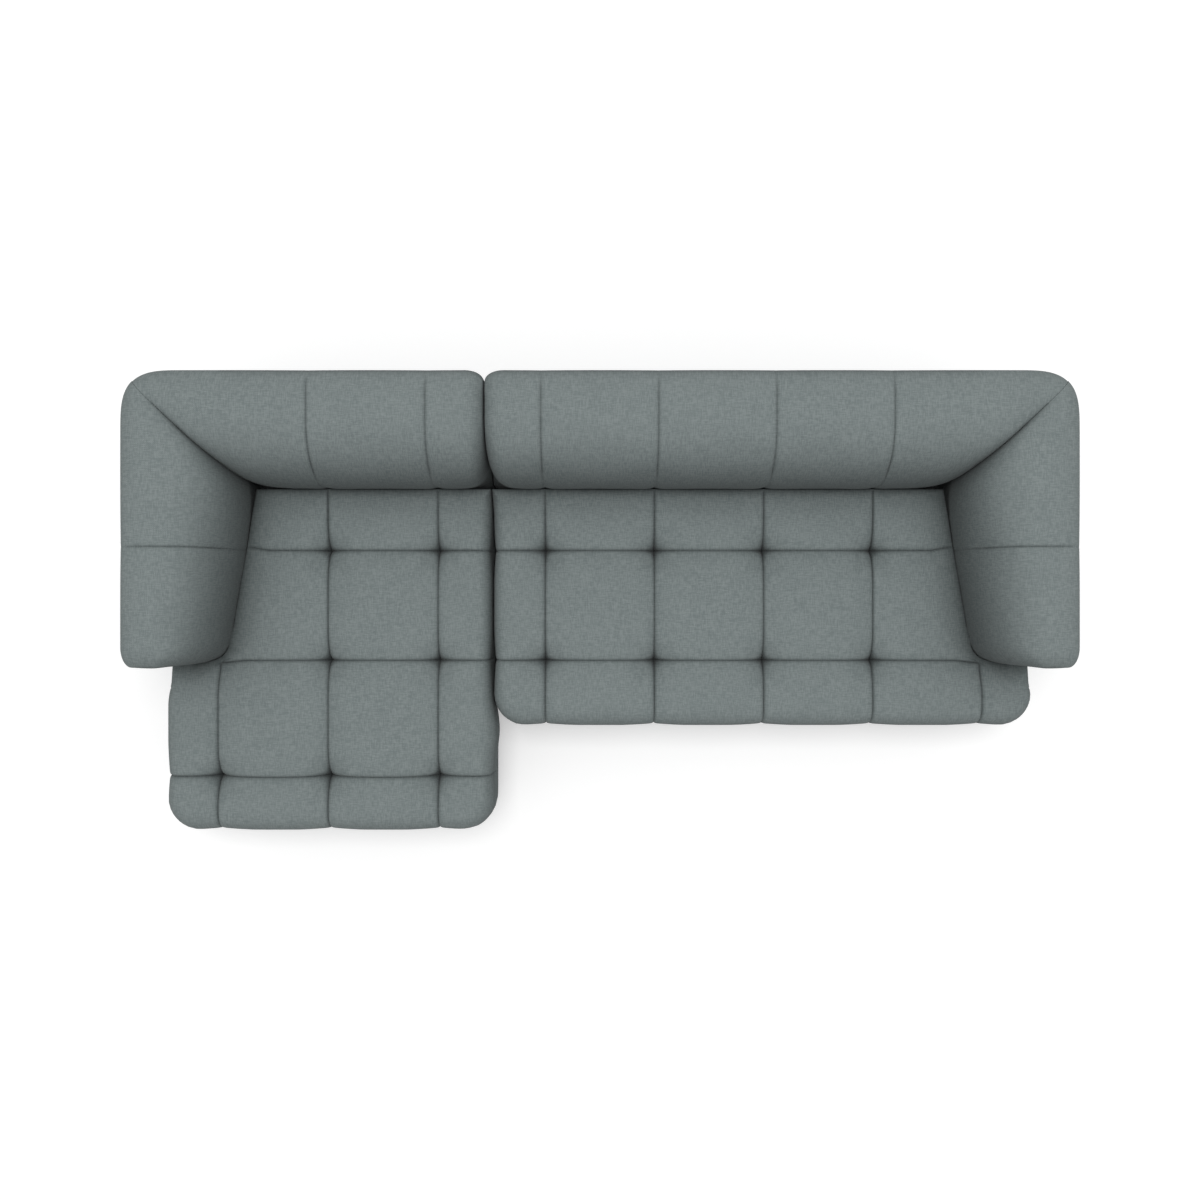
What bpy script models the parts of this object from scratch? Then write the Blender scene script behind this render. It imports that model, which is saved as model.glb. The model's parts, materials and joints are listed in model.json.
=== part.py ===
"""Modular sofa: a chaise module and a settee module that stand side by side and hook together.

Metres, +Z up. The origin is on the floor, in the middle of the sofa's outline. The seats face -Y.
"""

import math
from dataclasses import dataclass

import bmesh
import bpy
from mathutils import Vector

# Overall sizes
SOFA_WIDTH = 2.82
CHAISE_DEPTH = 1.412
SETTEE_DEPTH = 1.078
BACK_HEIGHT = 0.745
JOINT_X = -0.342
MODULE_GAP = 0.004

# Seat quilt
SEAT_CREST = 0.445
SEAM_SINK = 0.025
TUFT_SINK = 0.035
TUFT_SPREAD = 0.030
QUILT_POWER = 2.2
JOINT_STRIP = 0.167
OUTER_STRIP = 0.182
CHAISE_CELL_COUNT = 2
SETTEE_CELL_COUNT = 4
REAR_STRIP = 0.193
FRONT_STRIP = 0.179
ARM_SEAM_LEAD = 0.019
SEAT_SIDE_INSET = 0.022
EDGE_CREST_SHARE = 0.85
EDGE_ROLL = 0.070
JOINT_ROLL = 0.050
TUCK_ROLL = 0.032
ROLL_POWER = 2.4
EDGE_LEVEL = 0.335
TUCK_LEVEL = 0.375
SEAT_CORNER_RADIUS = 0.110
TUCK_CORNER = 0.90
SIDE_PINCH = 0.006
SIDE_DRAW_IN = 0.012
FREE_SIDE_BULGE = 0.014
BULGE_START = 0.110
BULGE_END = 0.028

# Back and arm section
BACK_THICKNESS = 0.327
ARM_TAPER = 0.170
ARM_SETBACK = 0.192
TOP_EDGE_WIDTH = 0.080
TOP_EDGE_DROP = 0.060
INNER_ROUND_START = 0.150
INNER_ROUND_FOOT = 0.350
INNER_ROUND_POWER = 2.1
BACK_DRAW_IN = 0.012
BACK_SEAM_SINK = 0.010
OUTER_SEAM_SINK = 0.004
CORNER_RADIUS = 0.100
JOINT_END_ROLL = 0.035
ARM_END_LENGTH = 0.050
ARM_END_OUTER = 0.025
ARM_END_TOP = 0.030
ARM_END_INNER = 0.090

# Cover thickness over the frame and the foam
FRAME_INSET = 0.050
JOINT_WALL = 0.030
INNER_WALL = 0.040
TOP_WALL = 0.045
FOAM_TOP = 0.340

# Base frame, back frame and arm frame
BASE_BOTTOM = 0.130
RAIL_WIDTH = 0.050
RAIL_HEIGHT = 0.095
STRETCHER_WIDTH = 0.035
STRETCHER_HEIGHT = 0.060
POST_WIDTH = 0.060
POST_DEPTH = 0.035
TOP_RAIL_HEIGHT = 0.060
BOARD_THICKNESS = 0.006
WEBBING_THICKNESS = 0.003
WEBBING_LAP = 0.014
STRAP_WIDTH = 0.070
STRAP_PITCH = 0.160

# Underside
DUST_COVER_THICKNESS = 0.001
DUST_COVER_INSET = 0.040
LEG_TOP = 0.062
LEG_FOOT = 0.044
LEG_INSET = 0.006
LEG_EDGE = 0.003
GLIDE_RADIUS = 0.014
GLIDE_THICKNESS = 0.006

# Connectors between the modules
PIN_PLATE_THICKNESS = 0.003
RECEIVER_THICKNESS = 0.004
CONNECTOR_WIDTH = 0.060
PIN_RADIUS = 0.006
PIN_TIP_RADIUS = 0.0045
PIN_LENGTH = 0.026
PIN_CLEARANCE = 0.0015
FRONT_CONNECTOR_SETBACK = 0.222
REAR_CONNECTOR_SETBACK = 0.286

# Gap between neighbouring pieces, and how far a cutter reaches past them
GAP = 0.0003
REACH = 0.050

# Steps of the modelled surfaces
CELL_STEPS = (0.0, 0.13, 0.32, 0.5, 0.68, 0.87)
MITRE_STEPS = (0.0, 0.04, 0.09, 0.15, 0.28, 0.5, 0.7, 0.87)
STRIP_STEPS = (0.0, 0.14, 0.32, 0.62)
ROLL_ANGLES = (30, 60, 90)
END_ANGLES = (0, 35, 65, 90)
TOP_EDGE_ANGLES = (0, 35, 65, 90)
INNER_ANGLES = (90, 74, 58, 43, 29, 16, 0)
CORE_ANGLES = (90, 60, 30, 0)
GLIDE_SIDES = 20
PIN_SIDES = 16

BACK_Y = CHAISE_DEPTH / 2
SEAT_REAR_Y = BACK_Y - BACK_THICKNESS
SETTEE_FRONT_Y = BACK_Y - SETTEE_DEPTH
ARM_FRONT_Y = SETTEE_FRONT_Y + ARM_SETBACK
ARM_SEAM_Y = ARM_FRONT_Y + ARM_SEAM_LEAD
MIDDLE_ROW = SEAT_REAR_Y - REAR_STRIP - ARM_SEAM_Y
FRAME_REAR = BACK_Y - FRAME_INSET
RAIL_TOP = BASE_BOTTOM + RAIL_HEIGHT
WEBBING_TOP = RAIL_TOP + GAP + WEBBING_THICKNESS
DECK = WEBBING_TOP + GAP
FRAME_BASE = RAIL_TOP + GAP
FRAME_TOP = BACK_HEIGHT - TOP_WALL
DUST_COVER_TOP = BASE_BOTTOM - GAP
DUST_COVER_BOTTOM = DUST_COVER_TOP - DUST_COVER_THICKNESS
UNDERSIDE = DUST_COVER_BOTTOM - GAP


@dataclass(frozen=True)
class Finish:
    """Colour, roughness and metallic value of one kind of piece."""

    colour: tuple
    roughness: float
    metallic: float = 0.0


WOVEN_FABRIC = Finish((0.200, 0.232, 0.230), 0.95)
FOAM = Finish((0.83, 0.78, 0.60), 0.95)
TIMBER = Finish((0.60, 0.43, 0.26), 0.70)
PLYWOOD = Finish((0.66, 0.50, 0.32), 0.65)
WEBBING = Finish((0.10, 0.10, 0.10), 0.90)
DUST_CLOTH = Finish((0.035, 0.035, 0.037), 0.95)
LEG_WOOD = Finish((0.055, 0.038, 0.028), 0.45)
FELT = Finish((0.30, 0.28, 0.25), 1.0)
STEEL = Finish((0.50, 0.51, 0.52), 0.35, 1.0)


@dataclass(frozen=True)
class Module:
    """One module of the sofa, with lengths counted from its joint face towards its arm.

    cells is the number of whole quilt cells across the seat, and front_seam says whether the seat has a
    seam near its front.
    """

    name: str
    side: int
    joint_face: float
    front: float
    cells: int
    front_seam: bool
    free_bulge: float

    def x(self, length):
        """World x of a length counted from the joint face."""
        return self.joint_face + self.side * length

    @property
    def arm_outer(self):
        """Length from the joint face to the arm's outer face."""
        return abs(self.side * SOFA_WIDTH / 2 - self.joint_face)

    @property
    def seat_outer(self):
        """Length from the joint face to the seat's free side."""
        return self.arm_outer - SEAT_SIDE_INSET

    @property
    def frame_outer(self):
        """Length from the joint face to the outer plane of the timber frame."""
        return self.seat_outer - FRAME_INSET

    @property
    def frame_front(self):
        """World y of the front plane of the timber frame."""
        return self.front + FRAME_INSET

    @property
    def pitch(self):
        """Width of one quilt cell."""
        return (self.seat_outer - JOINT_STRIP - OUTER_STRIP) / self.cells

    @property
    def seams(self):
        """Lengths of the seams that run from front to back."""
        return [JOINT_STRIP + self.pitch * count for count in range(self.cells + 1)]

    @property
    def rows(self):
        """Distances of the seams across the seat from the seat's rear edge."""
        places = [REAR_STRIP, REAR_STRIP + MIDDLE_ROW]
        if self.front_seam:
            places.append(SEAT_REAR_Y - self.front - FRONT_STRIP)
        return places


CHAISE = Module(
    name="chaise",
    side=-1,
    joint_face=JOINT_X - MODULE_GAP / 2,
    front=BACK_Y - CHAISE_DEPTH,
    cells=CHAISE_CELL_COUNT,
    front_seam=True,
    free_bulge=FREE_SIDE_BULGE,
)
SETTEE = Module(
    name="settee",
    side=1,
    joint_face=JOINT_X + MODULE_GAP / 2,
    front=SETTEE_FRONT_Y,
    cells=SETTEE_CELL_COUNT,
    front_seam=False,
    free_bulge=0.0,
)


# Scene helpers


def clear_scene():
    """Remove every object that the scene starts with."""
    for obj in list(bpy.data.objects):
        bpy.data.objects.remove(obj, do_unlink=True)


def new_collection(name):
    """Add a collection to the scene."""
    collection = bpy.data.collections.new(name)
    bpy.context.scene.collection.children.link(collection)
    return collection


def dress(obj, finish):
    """Give a piece a material of its own."""
    material = bpy.data.materials.new(obj.name + "_finish")
    material.use_nodes = True
    shader = material.node_tree.nodes["Principled BSDF"]
    shader.inputs["Base Color"].default_value = (*finish.colour, 1.0)
    shader.inputs["Roughness"].default_value = finish.roughness
    shader.inputs["Metallic"].default_value = finish.metallic
    obj.data.materials.append(material)


def object_from(bm, name, collection, parent=None):
    """Turn an edited mesh into an object, with its faces pointing out."""
    bmesh.ops.recalc_face_normals(bm, faces=bm.faces)
    mesh = bpy.data.meshes.new(name)
    bm.to_mesh(mesh)
    bm.free()
    obj = bpy.data.objects.new(name, mesh)
    collection.objects.link(obj)
    obj.parent = parent
    return obj


def as_cutter(obj):
    """Mark an object as a cutter that isn't a piece of the sofa."""
    obj.hide_render = True
    obj.display_type = "WIRE"
    return obj


def cut(obj, cutter, operation="DIFFERENCE"):
    """Cut one object with another, or join them."""
    modifier = obj.modifiers.new(cutter.name, "BOOLEAN")
    modifier.operation = operation
    modifier.solver = "EXACT"
    modifier.object = cutter


def smooth(obj, angle=40):
    """Shade a piece smooth, apart from its sharp edges."""
    obj.data.shade_smooth()
    obj.data.set_sharp_from_angle(angle=math.radians(angle))


def box(name, corner_a, corner_b, collection, parent=None):
    """A box between two opposite corners."""
    low = Vector([min(a, b) for a, b in zip(corner_a, corner_b)])
    high = Vector([max(a, b) for a, b in zip(corner_a, corner_b)])
    bm = bmesh.new()
    bmesh.ops.create_cube(bm, size=1.0)
    bmesh.ops.scale(bm, vec=high - low, verts=bm.verts)
    obj = object_from(bm, name, collection, parent)
    obj.location = (low + high) / 2
    return obj


def prism(name, outline, low, high, collection, parent=None):
    """A flat outline raised from one height to another."""
    bm = bmesh.new()
    corners = [bm.verts.new((x, y, low)) for x, y in outline]
    face = bm.faces.new(corners)
    raised = bmesh.ops.extrude_face_region(bm, geom=[face])["geom"]
    lifted = [item for item in raised if isinstance(item, bmesh.types.BMVert)]
    bmesh.ops.translate(bm, verts=lifted, vec=(0, 0, high - low))
    return object_from(bm, name, collection, parent)


def loft(name, rings, collection, parent=None):
    """A closed body through rings of points, with a flat cap at each end."""
    bm = bmesh.new()
    loops = [[bm.verts.new(point) for point in ring] for ring in rings]
    count = len(loops[0])
    for near, far in zip(loops, loops[1:]):
        for index in range(count):
            after = (index + 1) % count
            bm.faces.new((near[index], near[after], far[after], far[index]))
    bm.faces.new(list(reversed(loops[0])))
    bm.faces.new(loops[-1])
    return object_from(bm, name, collection, parent)


# Seat quilt


def puff(distance, half_cell):
    """Share of the crown at a distance from the nearest seam: 0 on the seam, 1 in mid cell."""
    return 1 - (1 - min(1.0, distance / half_cell)) ** QUILT_POWER


def quilt_lines(start, seams, end, half_cell):
    """Places of the mesh lines across a quilt, each with its share of the crown and its seam."""
    lines = []
    for step in STRIP_STEPS:
        place = start + (seams[0] - start) * step
        share = EDGE_CREST_SHARE + (1 - EDGE_CREST_SHARE) * min(1.0, 2 * step)
        lines.append((place, min(share, puff(seams[0] - place, half_cell))))
    for first, second in zip(seams, seams[1:]):
        for step in CELL_STEPS:
            place = first + (second - first) * step
            near = min(place - first, second - place)
            lines.append((place, puff(near, (second - first) / 2)))
    for step in reversed(STRIP_STEPS):
        place = end + (seams[-1] - end) * step
        share = EDGE_CREST_SHARE + (1 - EDGE_CREST_SHARE) * min(1.0, 2 * step)
        lines.append((place, min(share, puff(place - seams[-1], half_cell))))
    last_cell = len(lines) - len(STRIP_STEPS)
    lines.insert(last_cell, (seams[-1], 0.0))
    return lines


def arm_thickness(along):
    """Arm thickness at a distance from the sofa's back."""
    return BACK_THICKNESS - ARM_TAPER * max(0.0, along - BACK_THICKNESS)


FREE_SIDES = ("joint", "outer", "front")


class SeatQuilt:
    """The quilted block of one seat, which steps in behind the arm's front."""

    def __init__(self, module):
        self.module = module
        depth = SEAT_REAR_Y - module.front
        self.columns = quilt_lines(
            JOINT_ROLL, module.seams, module.seat_outer - EDGE_ROLL, module.pitch / 2
        )
        self.rows = quilt_lines(TUCK_ROLL, module.rows, depth - EDGE_ROLL, MIDDLE_ROW / 2)
        self.arm_column = len(STRIP_STEPS) + module.cells * len(CELL_STEPS)
        self.arm_row = len(STRIP_STEPS) + len(CELL_STEPS)
        self.last_column = len(self.columns) - 1
        self.last_row = len(self.rows) - 1
        self.strip_end_row = min(self.arm_row + len(CELL_STEPS), self.last_row)

    def at_arm_corner(self, column, row):
        """Whether a point of the top grid is the one at the arm's front corner."""
        return column == self.arm_column and row == self.arm_row

    def arm_corner(self):
        """Length and world y of the arm's front corner before it is rounded."""
        thickness = arm_thickness(BACK_Y - ARM_FRONT_Y)
        return self.module.arm_outer - thickness - GAP, ARM_FRONT_Y - GAP

    def length_of(self, column, row):
        """Length from the joint face to a point of the top grid."""
        if self.at_arm_corner(column, row):
            return self.arm_corner()[0] - TUCK_ROLL * TUCK_CORNER
        length = self.columns[column][0]
        cell_start = self.arm_column - len(CELL_STEPS)
        if row < self.arm_row and column > cell_start:
            inner = self.columns[cell_start][0]
            outer = self.columns[self.arm_column][0]
            share = (length - inner) / (outer - inner)
            along = BACK_THICKNESS + self.rows[row][0]
            arm_face = self.module.arm_outer - arm_thickness(along)
            length = inner + (arm_face - GAP - TUCK_ROLL - inner) * share
        return length

    def row_place(self, column, row):
        """World y of a point of the top grid."""
        if self.at_arm_corner(column, row):
            return self.arm_corner()[1] - TUCK_ROLL * TUCK_CORNER
        place = self.rows[row][0]
        if column > self.arm_column and row < self.strip_end_row:
            seam = self.rows[self.arm_row][0]
            end = self.rows[self.strip_end_row][0]
            start = SEAT_REAR_Y - self.arm_corner()[1] + TUCK_ROLL
            place = start + (end - start) * (place - seam) / (end - seam)
        return SEAT_REAR_Y - place

    def crown(self, column, row):
        """Height of the quilt at a point of the top grid."""
        across = self.columns[column][1]
        down = self.rows[row][1]
        if row < self.arm_row and column > self.arm_column - len(CELL_STEPS) // 2:
            across = 1.0
        if column > self.arm_column and row == self.arm_row:
            down = EDGE_CREST_SHARE
        height = SEAT_CREST - SEAM_SINK * (1 - across * down)
        nearest = 1.0
        for seam in self.module.seams:
            for line in self.module.rows:
                gap_x = self.length_of(column, row) - seam
                gap_y = SEAT_REAR_Y - self.row_place(column, row) - line
                nearest = min(nearest, math.hypot(gap_x, gap_y))
        return height - TUFT_SINK * math.exp(-((nearest / TUFT_SPREAD) ** 2))

    def sides_at(self, column, row):
        """The edges of the seat that a rim point lies on."""
        sides = []
        if column == 0:
            sides.append("joint")
        if column == self.last_column:
            sides.append("outer")
        if row == 0:
            sides.append("rear")
        if row == self.last_row:
            sides.append("front")
        if column == self.arm_column and row <= self.arm_row:
            sides.append("arm_side")
        if row == self.arm_row and column >= self.arm_column:
            sides.append("arm_front")
        return sides

    def roll_of(self, side):
        """Outward direction of one edge in length and world y, times its roll-over width."""
        return {
            "joint": Vector((-JOINT_ROLL, 0)),
            "outer": Vector((EDGE_ROLL, 0)),
            "rear": Vector((0, TUCK_ROLL)),
            "front": Vector((0, -EDGE_ROLL)),
            "arm_side": Vector((TUCK_ROLL, 0)),
            "arm_front": Vector((0, TUCK_ROLL)),
        }[side]

    def corner_inset(self, column, row, free):
        """How far a rim point moves in where the seat's free corners are rounded in plan."""
        if len(free) == 2:
            return SEAT_CORNER_RADIUS * (math.sqrt(2) - 1)
        length = self.length_of(column, row)
        to_front = self.row_place(column, row) - self.module.front
        to_side = min(length, self.module.seat_outer - length)
        distance = to_side if "front" in free else to_front
        away = max(0.0, SEAT_CORNER_RADIUS - distance)
        return SEAT_CORNER_RADIUS - math.sqrt(SEAT_CORNER_RADIUS**2 - away**2)

    def rim_point(self, column, row, reach, drop, draw_in, level=None):
        """A point on the seat's side below one rim point of the top grid."""
        sides = self.sides_at(column, row)
        free = [side for side in sides if side in FREE_SIDES]
        outward = Vector((0.0, 0.0))
        for side in sides:
            outward += self.roll_of(side)
        if len(sides) == 2 and len(free) < 2:
            outward *= TUCK_CORNER
        edge_level = EDGE_LEVEL if len(free) == len(sides) else TUCK_LEVEL
        seam_share = min(1.0, min(self.columns[column][1], self.rows[row][1]) / EDGE_CREST_SHARE)
        inset = SIDE_PINCH * (1 - seam_share) * reach
        if free:
            inset += draw_in + self.corner_inset(column, row, free) * reach
        move = outward * reach - outward.normalized() * inset
        place = SEAT_REAR_Y - self.row_place(column, row)
        length = self.length_of(column, row) + move.x
        y = self.row_place(column, row) + move.y
        if "joint" in sides:
            start = SEAT_REAR_Y - SETTEE_FRONT_Y - BULGE_START
            end = SEAT_REAR_Y - SETTEE_FRONT_Y + BULGE_END
            share = min(1.0, max(0.0, (place - start) / (end - start)))
            length -= self.module.free_bulge * reach * share * share * (3 - 2 * share)
        top = self.crown(column, row)
        height = edge_level + (top - edge_level) * drop if level is None else level
        return Vector((self.module.x(length), y, height))


def seat_block(module, name, collection, parent):
    """The outer form of a seat cover: a quilted top that rolls over to sewn sides."""
    quilt = SeatQuilt(module)
    bm = bmesh.new()
    column_layer = bm.verts.layers.int.new("column")
    row_layer = bm.verts.layers.int.new("row")
    bmesh.ops.create_grid(bm, x_segments=quilt.last_column, y_segments=quilt.last_row, size=1.0)
    for vert in bm.verts:
        vert[column_layer] = round((vert.co.x + 1) / 2 * quilt.last_column)
        vert[row_layer] = round((vert.co.y + 1) / 2 * quilt.last_row)
    notch = []
    for face in bm.faces:
        behind = all(vert[row_layer] <= quilt.arm_row for vert in face.verts)
        beside = all(vert[column_layer] >= quilt.arm_column for vert in face.verts)
        if behind and beside:
            notch.append(face)
    bmesh.ops.delete(bm, geom=notch, context="FACES")
    for vert in bm.verts:
        column, row = vert[column_layer], vert[row_layer]
        x = module.x(quilt.length_of(column, row))
        vert.co = (x, quilt.row_place(column, row), quilt.crown(column, row))
    steps = []
    for angle in ROLL_ANGLES:
        turn = math.radians(angle)
        reach = math.sin(turn) ** (2 / ROLL_POWER)
        drop = max(0.0, math.cos(turn)) ** (2 / ROLL_POWER)
        steps.append((reach, drop, 0.0, None))
    steps.append((1.0, 0.0, SIDE_DRAW_IN / 4, DECK))
    steps.append((1.0, 0.0, SIDE_DRAW_IN, BASE_BOTTOM))
    rim = [edge for edge in bm.edges if edge.is_boundary]
    for reach, drop, draw_in, level in steps:
        made = bmesh.ops.extrude_edge_only(bm, edges=rim)["geom"]
        rim = [item for item in made if isinstance(item, bmesh.types.BMEdge) and item.is_boundary]
        for vert in [item for item in made if isinstance(item, bmesh.types.BMVert)]:
            vert.co = quilt.rim_point(vert[column_layer], vert[row_layer], reach, drop, draw_in, level)
    bmesh.ops.holes_fill(bm, edges=rim)
    return object_from(bm, name, collection, parent)


# Back and arm section


@dataclass(frozen=True)
class SectionPoint:
    """One point of the back's section.

    outer and inner say how far the point belongs to the outer or the inner face, from 0 to 1.
    """

    inward: float
    height: float
    normal: Vector
    sink: float
    outer: float = 0.0
    inner: float = 0.0


@dataclass(frozen=True)
class EndRoll:
    """How far a free end rolls over, at its outer face, its top and its inner face."""

    outer: float
    top: float
    inner: float

    def at(self, point):
        """Roll-over of one point of the section."""
        sideways = (self.outer - self.top) * point.outer + (self.inner - self.top) * point.inner
        return self.top + sideways


def section(thickness):
    """Section of a back or an arm, from its outer foot over the top to its inner foot."""
    share = thickness / BACK_THICKNESS
    edge_foot = BACK_HEIGHT - TOP_EDGE_DROP
    out = Vector((-1, 0))
    points = [
        SectionPoint(BACK_DRAW_IN, BASE_BOTTOM, out, OUTER_SEAM_SINK, outer=1.0),
        SectionPoint(BACK_DRAW_IN / 4, DECK, out, OUTER_SEAM_SINK, outer=1.0),
        SectionPoint(0.0, (DECK + edge_foot) / 2, out, OUTER_SEAM_SINK, outer=1.0),
    ]
    for angle in TOP_EDGE_ANGLES:
        turn = math.radians(angle)
        inward = TOP_EDGE_WIDTH * (1 - math.cos(turn))
        height = edge_foot + TOP_EDGE_DROP * math.sin(turn)
        normal = Vector((-math.cos(turn) / TOP_EDGE_WIDTH, math.sin(turn) / TOP_EDGE_DROP)).normalized()
        sink = OUTER_SEAM_SINK + (BACK_SEAM_SINK - OUTER_SEAM_SINK) * math.sin(turn)
        points.append(SectionPoint(inward, height, normal, sink, outer=math.cos(turn)))
    start = INNER_ROUND_START * share
    middle = (TOP_EDGE_WIDTH + start) / 2
    points.append(SectionPoint(middle, BACK_HEIGHT, Vector((0, 1)), BACK_SEAM_SINK))
    for angle in INNER_ANGLES:
        points.append(inner_point(thickness, angle))
    inward = Vector((1, 0))
    points.append(SectionPoint(thickness, DECK, inward, BACK_SEAM_SINK, inner=1.0))
    points.append(SectionPoint(thickness, BASE_BOTTOM, inward, BACK_SEAM_SINK, inner=1.0))
    return points


def inner_point(thickness, angle):
    """A point on the rounded inner face, at 90 degrees on the flat top and 0 at its foot."""
    start = INNER_ROUND_START * thickness / BACK_THICKNESS
    turn = math.radians(angle)
    cos_share = max(0.0, math.cos(turn)) ** (2 / INNER_ROUND_POWER)
    sin_share = max(0.0, math.sin(turn)) ** (2 / INNER_ROUND_POWER)
    width = thickness - start
    drop = BACK_HEIGHT - INNER_ROUND_FOOT
    inward = start + width * cos_share
    height = INNER_ROUND_FOOT + drop * sin_share
    slope = INNER_ROUND_POWER - 1
    normal = Vector((cos_share**slope / width, sin_share**slope / drop)).normalized()
    return SectionPoint(inward, height, normal, BACK_SEAM_SINK, inner=math.cos(turn))


@dataclass(frozen=True)
class Station:
    """One ring of a back or arm: its place along the run, crown share and end roll-over."""

    fan: float
    along: float
    crown: float
    turn: float


def run_stations(seams, end, end_length, half_cell):
    """Stations of a run from its mitre to its free end."""
    stations = [Station(step, seams[0], puff(min(step, 1 - step), 0.5), 0.0) for step in MITRE_STEPS]
    for first, second in zip(seams, seams[1:]):
        for step in CELL_STEPS:
            place = first + (second - first) * step
            near = min(place - first, second - place)
            stations.append(Station(1.0, place, puff(near, half_cell), 0.0))
    last = end - end_length
    for step in CELL_STEPS[:-1]:
        place = seams[-1] + (last - seams[-1]) * step
        stations.append(Station(1.0, place, puff(place - seams[-1], half_cell), 0.0))
    for angle in END_ANGLES:
        turn = math.radians(angle)
        place = last + end_length * math.sin(turn)
        stations.append(Station(1.0, place, 1.0, turn))
    return stations


def mitre_start(inward):
    """Distance from the corner at which a run begins, for a point this far inward."""
    if inward >= CORNER_RADIUS:
        return inward
    return CORNER_RADIUS - (CORNER_RADIUS - inward) / math.sqrt(2)


def round_corner(inward, along):
    """Inward distance of a point after the corner in plan is rounded."""
    if along >= CORNER_RADIUS or inward >= CORNER_RADIUS:
        return inward
    reach = (CORNER_RADIUS - inward) ** 2 - (CORNER_RADIUS - along) ** 2
    return CORNER_RADIUS - math.sqrt(max(0.0, reach))


def run_rings(stations, thickness_at, end_roll, place):
    """Rings of a back or an arm.

    thickness_at gives the thickness at a distance along the run, and place turns inward distance,
    distance along and height into a world point.
    """
    rings = []
    for station in stations:
        ring = []
        for index in range(len(section(BACK_THICKNESS))):
            thickness = thickness_at(station.along)
            if station.fan < 1:
                nominal = section(BACK_THICKNESS)[index].inward
                start = mitre_start(nominal) + GAP
                along = start + (station.along - start) * station.fan
                thickness = thickness_at(along)
            point = section(thickness)[index]
            sink = point.sink * (1 - station.crown)
            if station.fan < 1 and point.inward < CORNER_RADIUS:
                sink *= point.inward / CORNER_RADIUS
            inset = sink + end_roll.at(point) * (1 - math.cos(station.turn))
            inward = point.inward - point.normal.x * inset
            height = point.height - point.normal.y * inset
            if height < DECK + GAP:
                height = point.height
            along = station.along
            if station.fan < 1:
                start = mitre_start(inward) + GAP
                along = start + (station.along - start) * station.fan
            ring.append(place(round_corner(inward, along), along, height))
        rings.append(ring)
    return rings


def back_place(module):
    """Placing rule of a back: it runs from the corner towards the joint."""
    return lambda inward, along, height: Vector(
        (module.x(module.arm_outer - along), BACK_Y - inward, height)
    )


def arm_place(module):
    """Placing rule of an arm: it runs from the corner towards the front."""
    return lambda inward, along, height: Vector(
        (module.x(module.arm_outer - inward), BACK_Y - along, height)
    )


def back_block(module, name, collection, parent):
    """The outer form of a back cover."""
    seams = [module.arm_outer - seam for seam in reversed(module.seams[:-1])]
    end_roll = EndRoll(JOINT_END_ROLL, JOINT_END_ROLL, JOINT_END_ROLL)
    stations = run_stations(seams, module.arm_outer, JOINT_END_ROLL, module.pitch / 2)
    rings = run_rings(stations, lambda along: BACK_THICKNESS, end_roll, back_place(module))
    return loft(name, rings, collection, parent)


def arm_block(module, name, collection, parent):
    """The outer form of an arm cover, which gets thinner towards its front."""
    seam = BACK_THICKNESS + REAR_STRIP
    end_roll = EndRoll(ARM_END_OUTER, ARM_END_TOP, ARM_END_INNER)
    stations = run_stations([seam], BACK_Y - ARM_FRONT_Y, ARM_END_LENGTH, MIDDLE_ROW / 2)
    rings = run_rings(stations, arm_thickness, end_roll, arm_place(module))
    return loft(name, rings, collection, parent)


def core_outline(outer, thickness, growth):
    """Section of the space inside a back or arm cover, from its outer foot to its inner foot."""
    outline = [(outer - growth, DECK - growth), (outer - growth, FRAME_TOP + growth)]
    for angle in CORE_ANGLES:
        point = inner_point(thickness, angle)
        wall = TOP_WALL if angle == CORE_ANGLES[0] else INNER_WALL
        inward = point.inward - point.normal.x * (wall - growth)
        height = point.height - point.normal.y * (wall - growth)
        outline.append((inward, min(height, FRAME_TOP + growth)))
    outline.append((thickness - INNER_WALL + growth, DECK - growth))
    return outline


def core_rings(places, outer, thickness_at, growth, place):
    """Rings of the space inside a back or arm cover, at some distances from the corner."""
    rings = []
    for along in places:
        outline = core_outline(outer, thickness_at(along), growth)
        rings.append([place(inward, along, height) for inward, height in outline])
    return rings


def foam_rings(places, outer, thickness_at, clear, place):
    """Rings of a back or arm foam, which starts on the plane of the mitre, clear of the frame."""
    mitre = [
        place(inward, max(inward + GAP, clear), height)
        for inward, height in core_outline(outer, BACK_THICKNESS, 0.0)
    ]
    return [mitre] + core_rings(places, outer, thickness_at, 0.0, place)


# Modules


def seat_outline(module, growth):
    """Plan of the seat foam, grown by a clearance."""
    joint = JOINT_WALL - growth
    outer = module.seat_outer - FRAME_INSET + growth
    front = module.front + FRAME_INSET - growth
    rear = SEAT_REAR_Y - INNER_WALL + growth
    arm_front = ARM_FRONT_Y - INNER_WALL + growth
    inset = INNER_WALL - growth
    arm_rear = module.arm_outer - arm_thickness(BACK_Y - rear) - inset
    arm_fore = module.arm_outer - arm_thickness(BACK_Y - arm_front) - inset
    corners = [
        (joint, rear),
        (joint, front),
        (outer, front),
        (outer, arm_front),
        (arm_fore, arm_front),
        (arm_rear, rear),
    ]
    return [(module.x(length), y) for length, y in corners]


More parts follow.
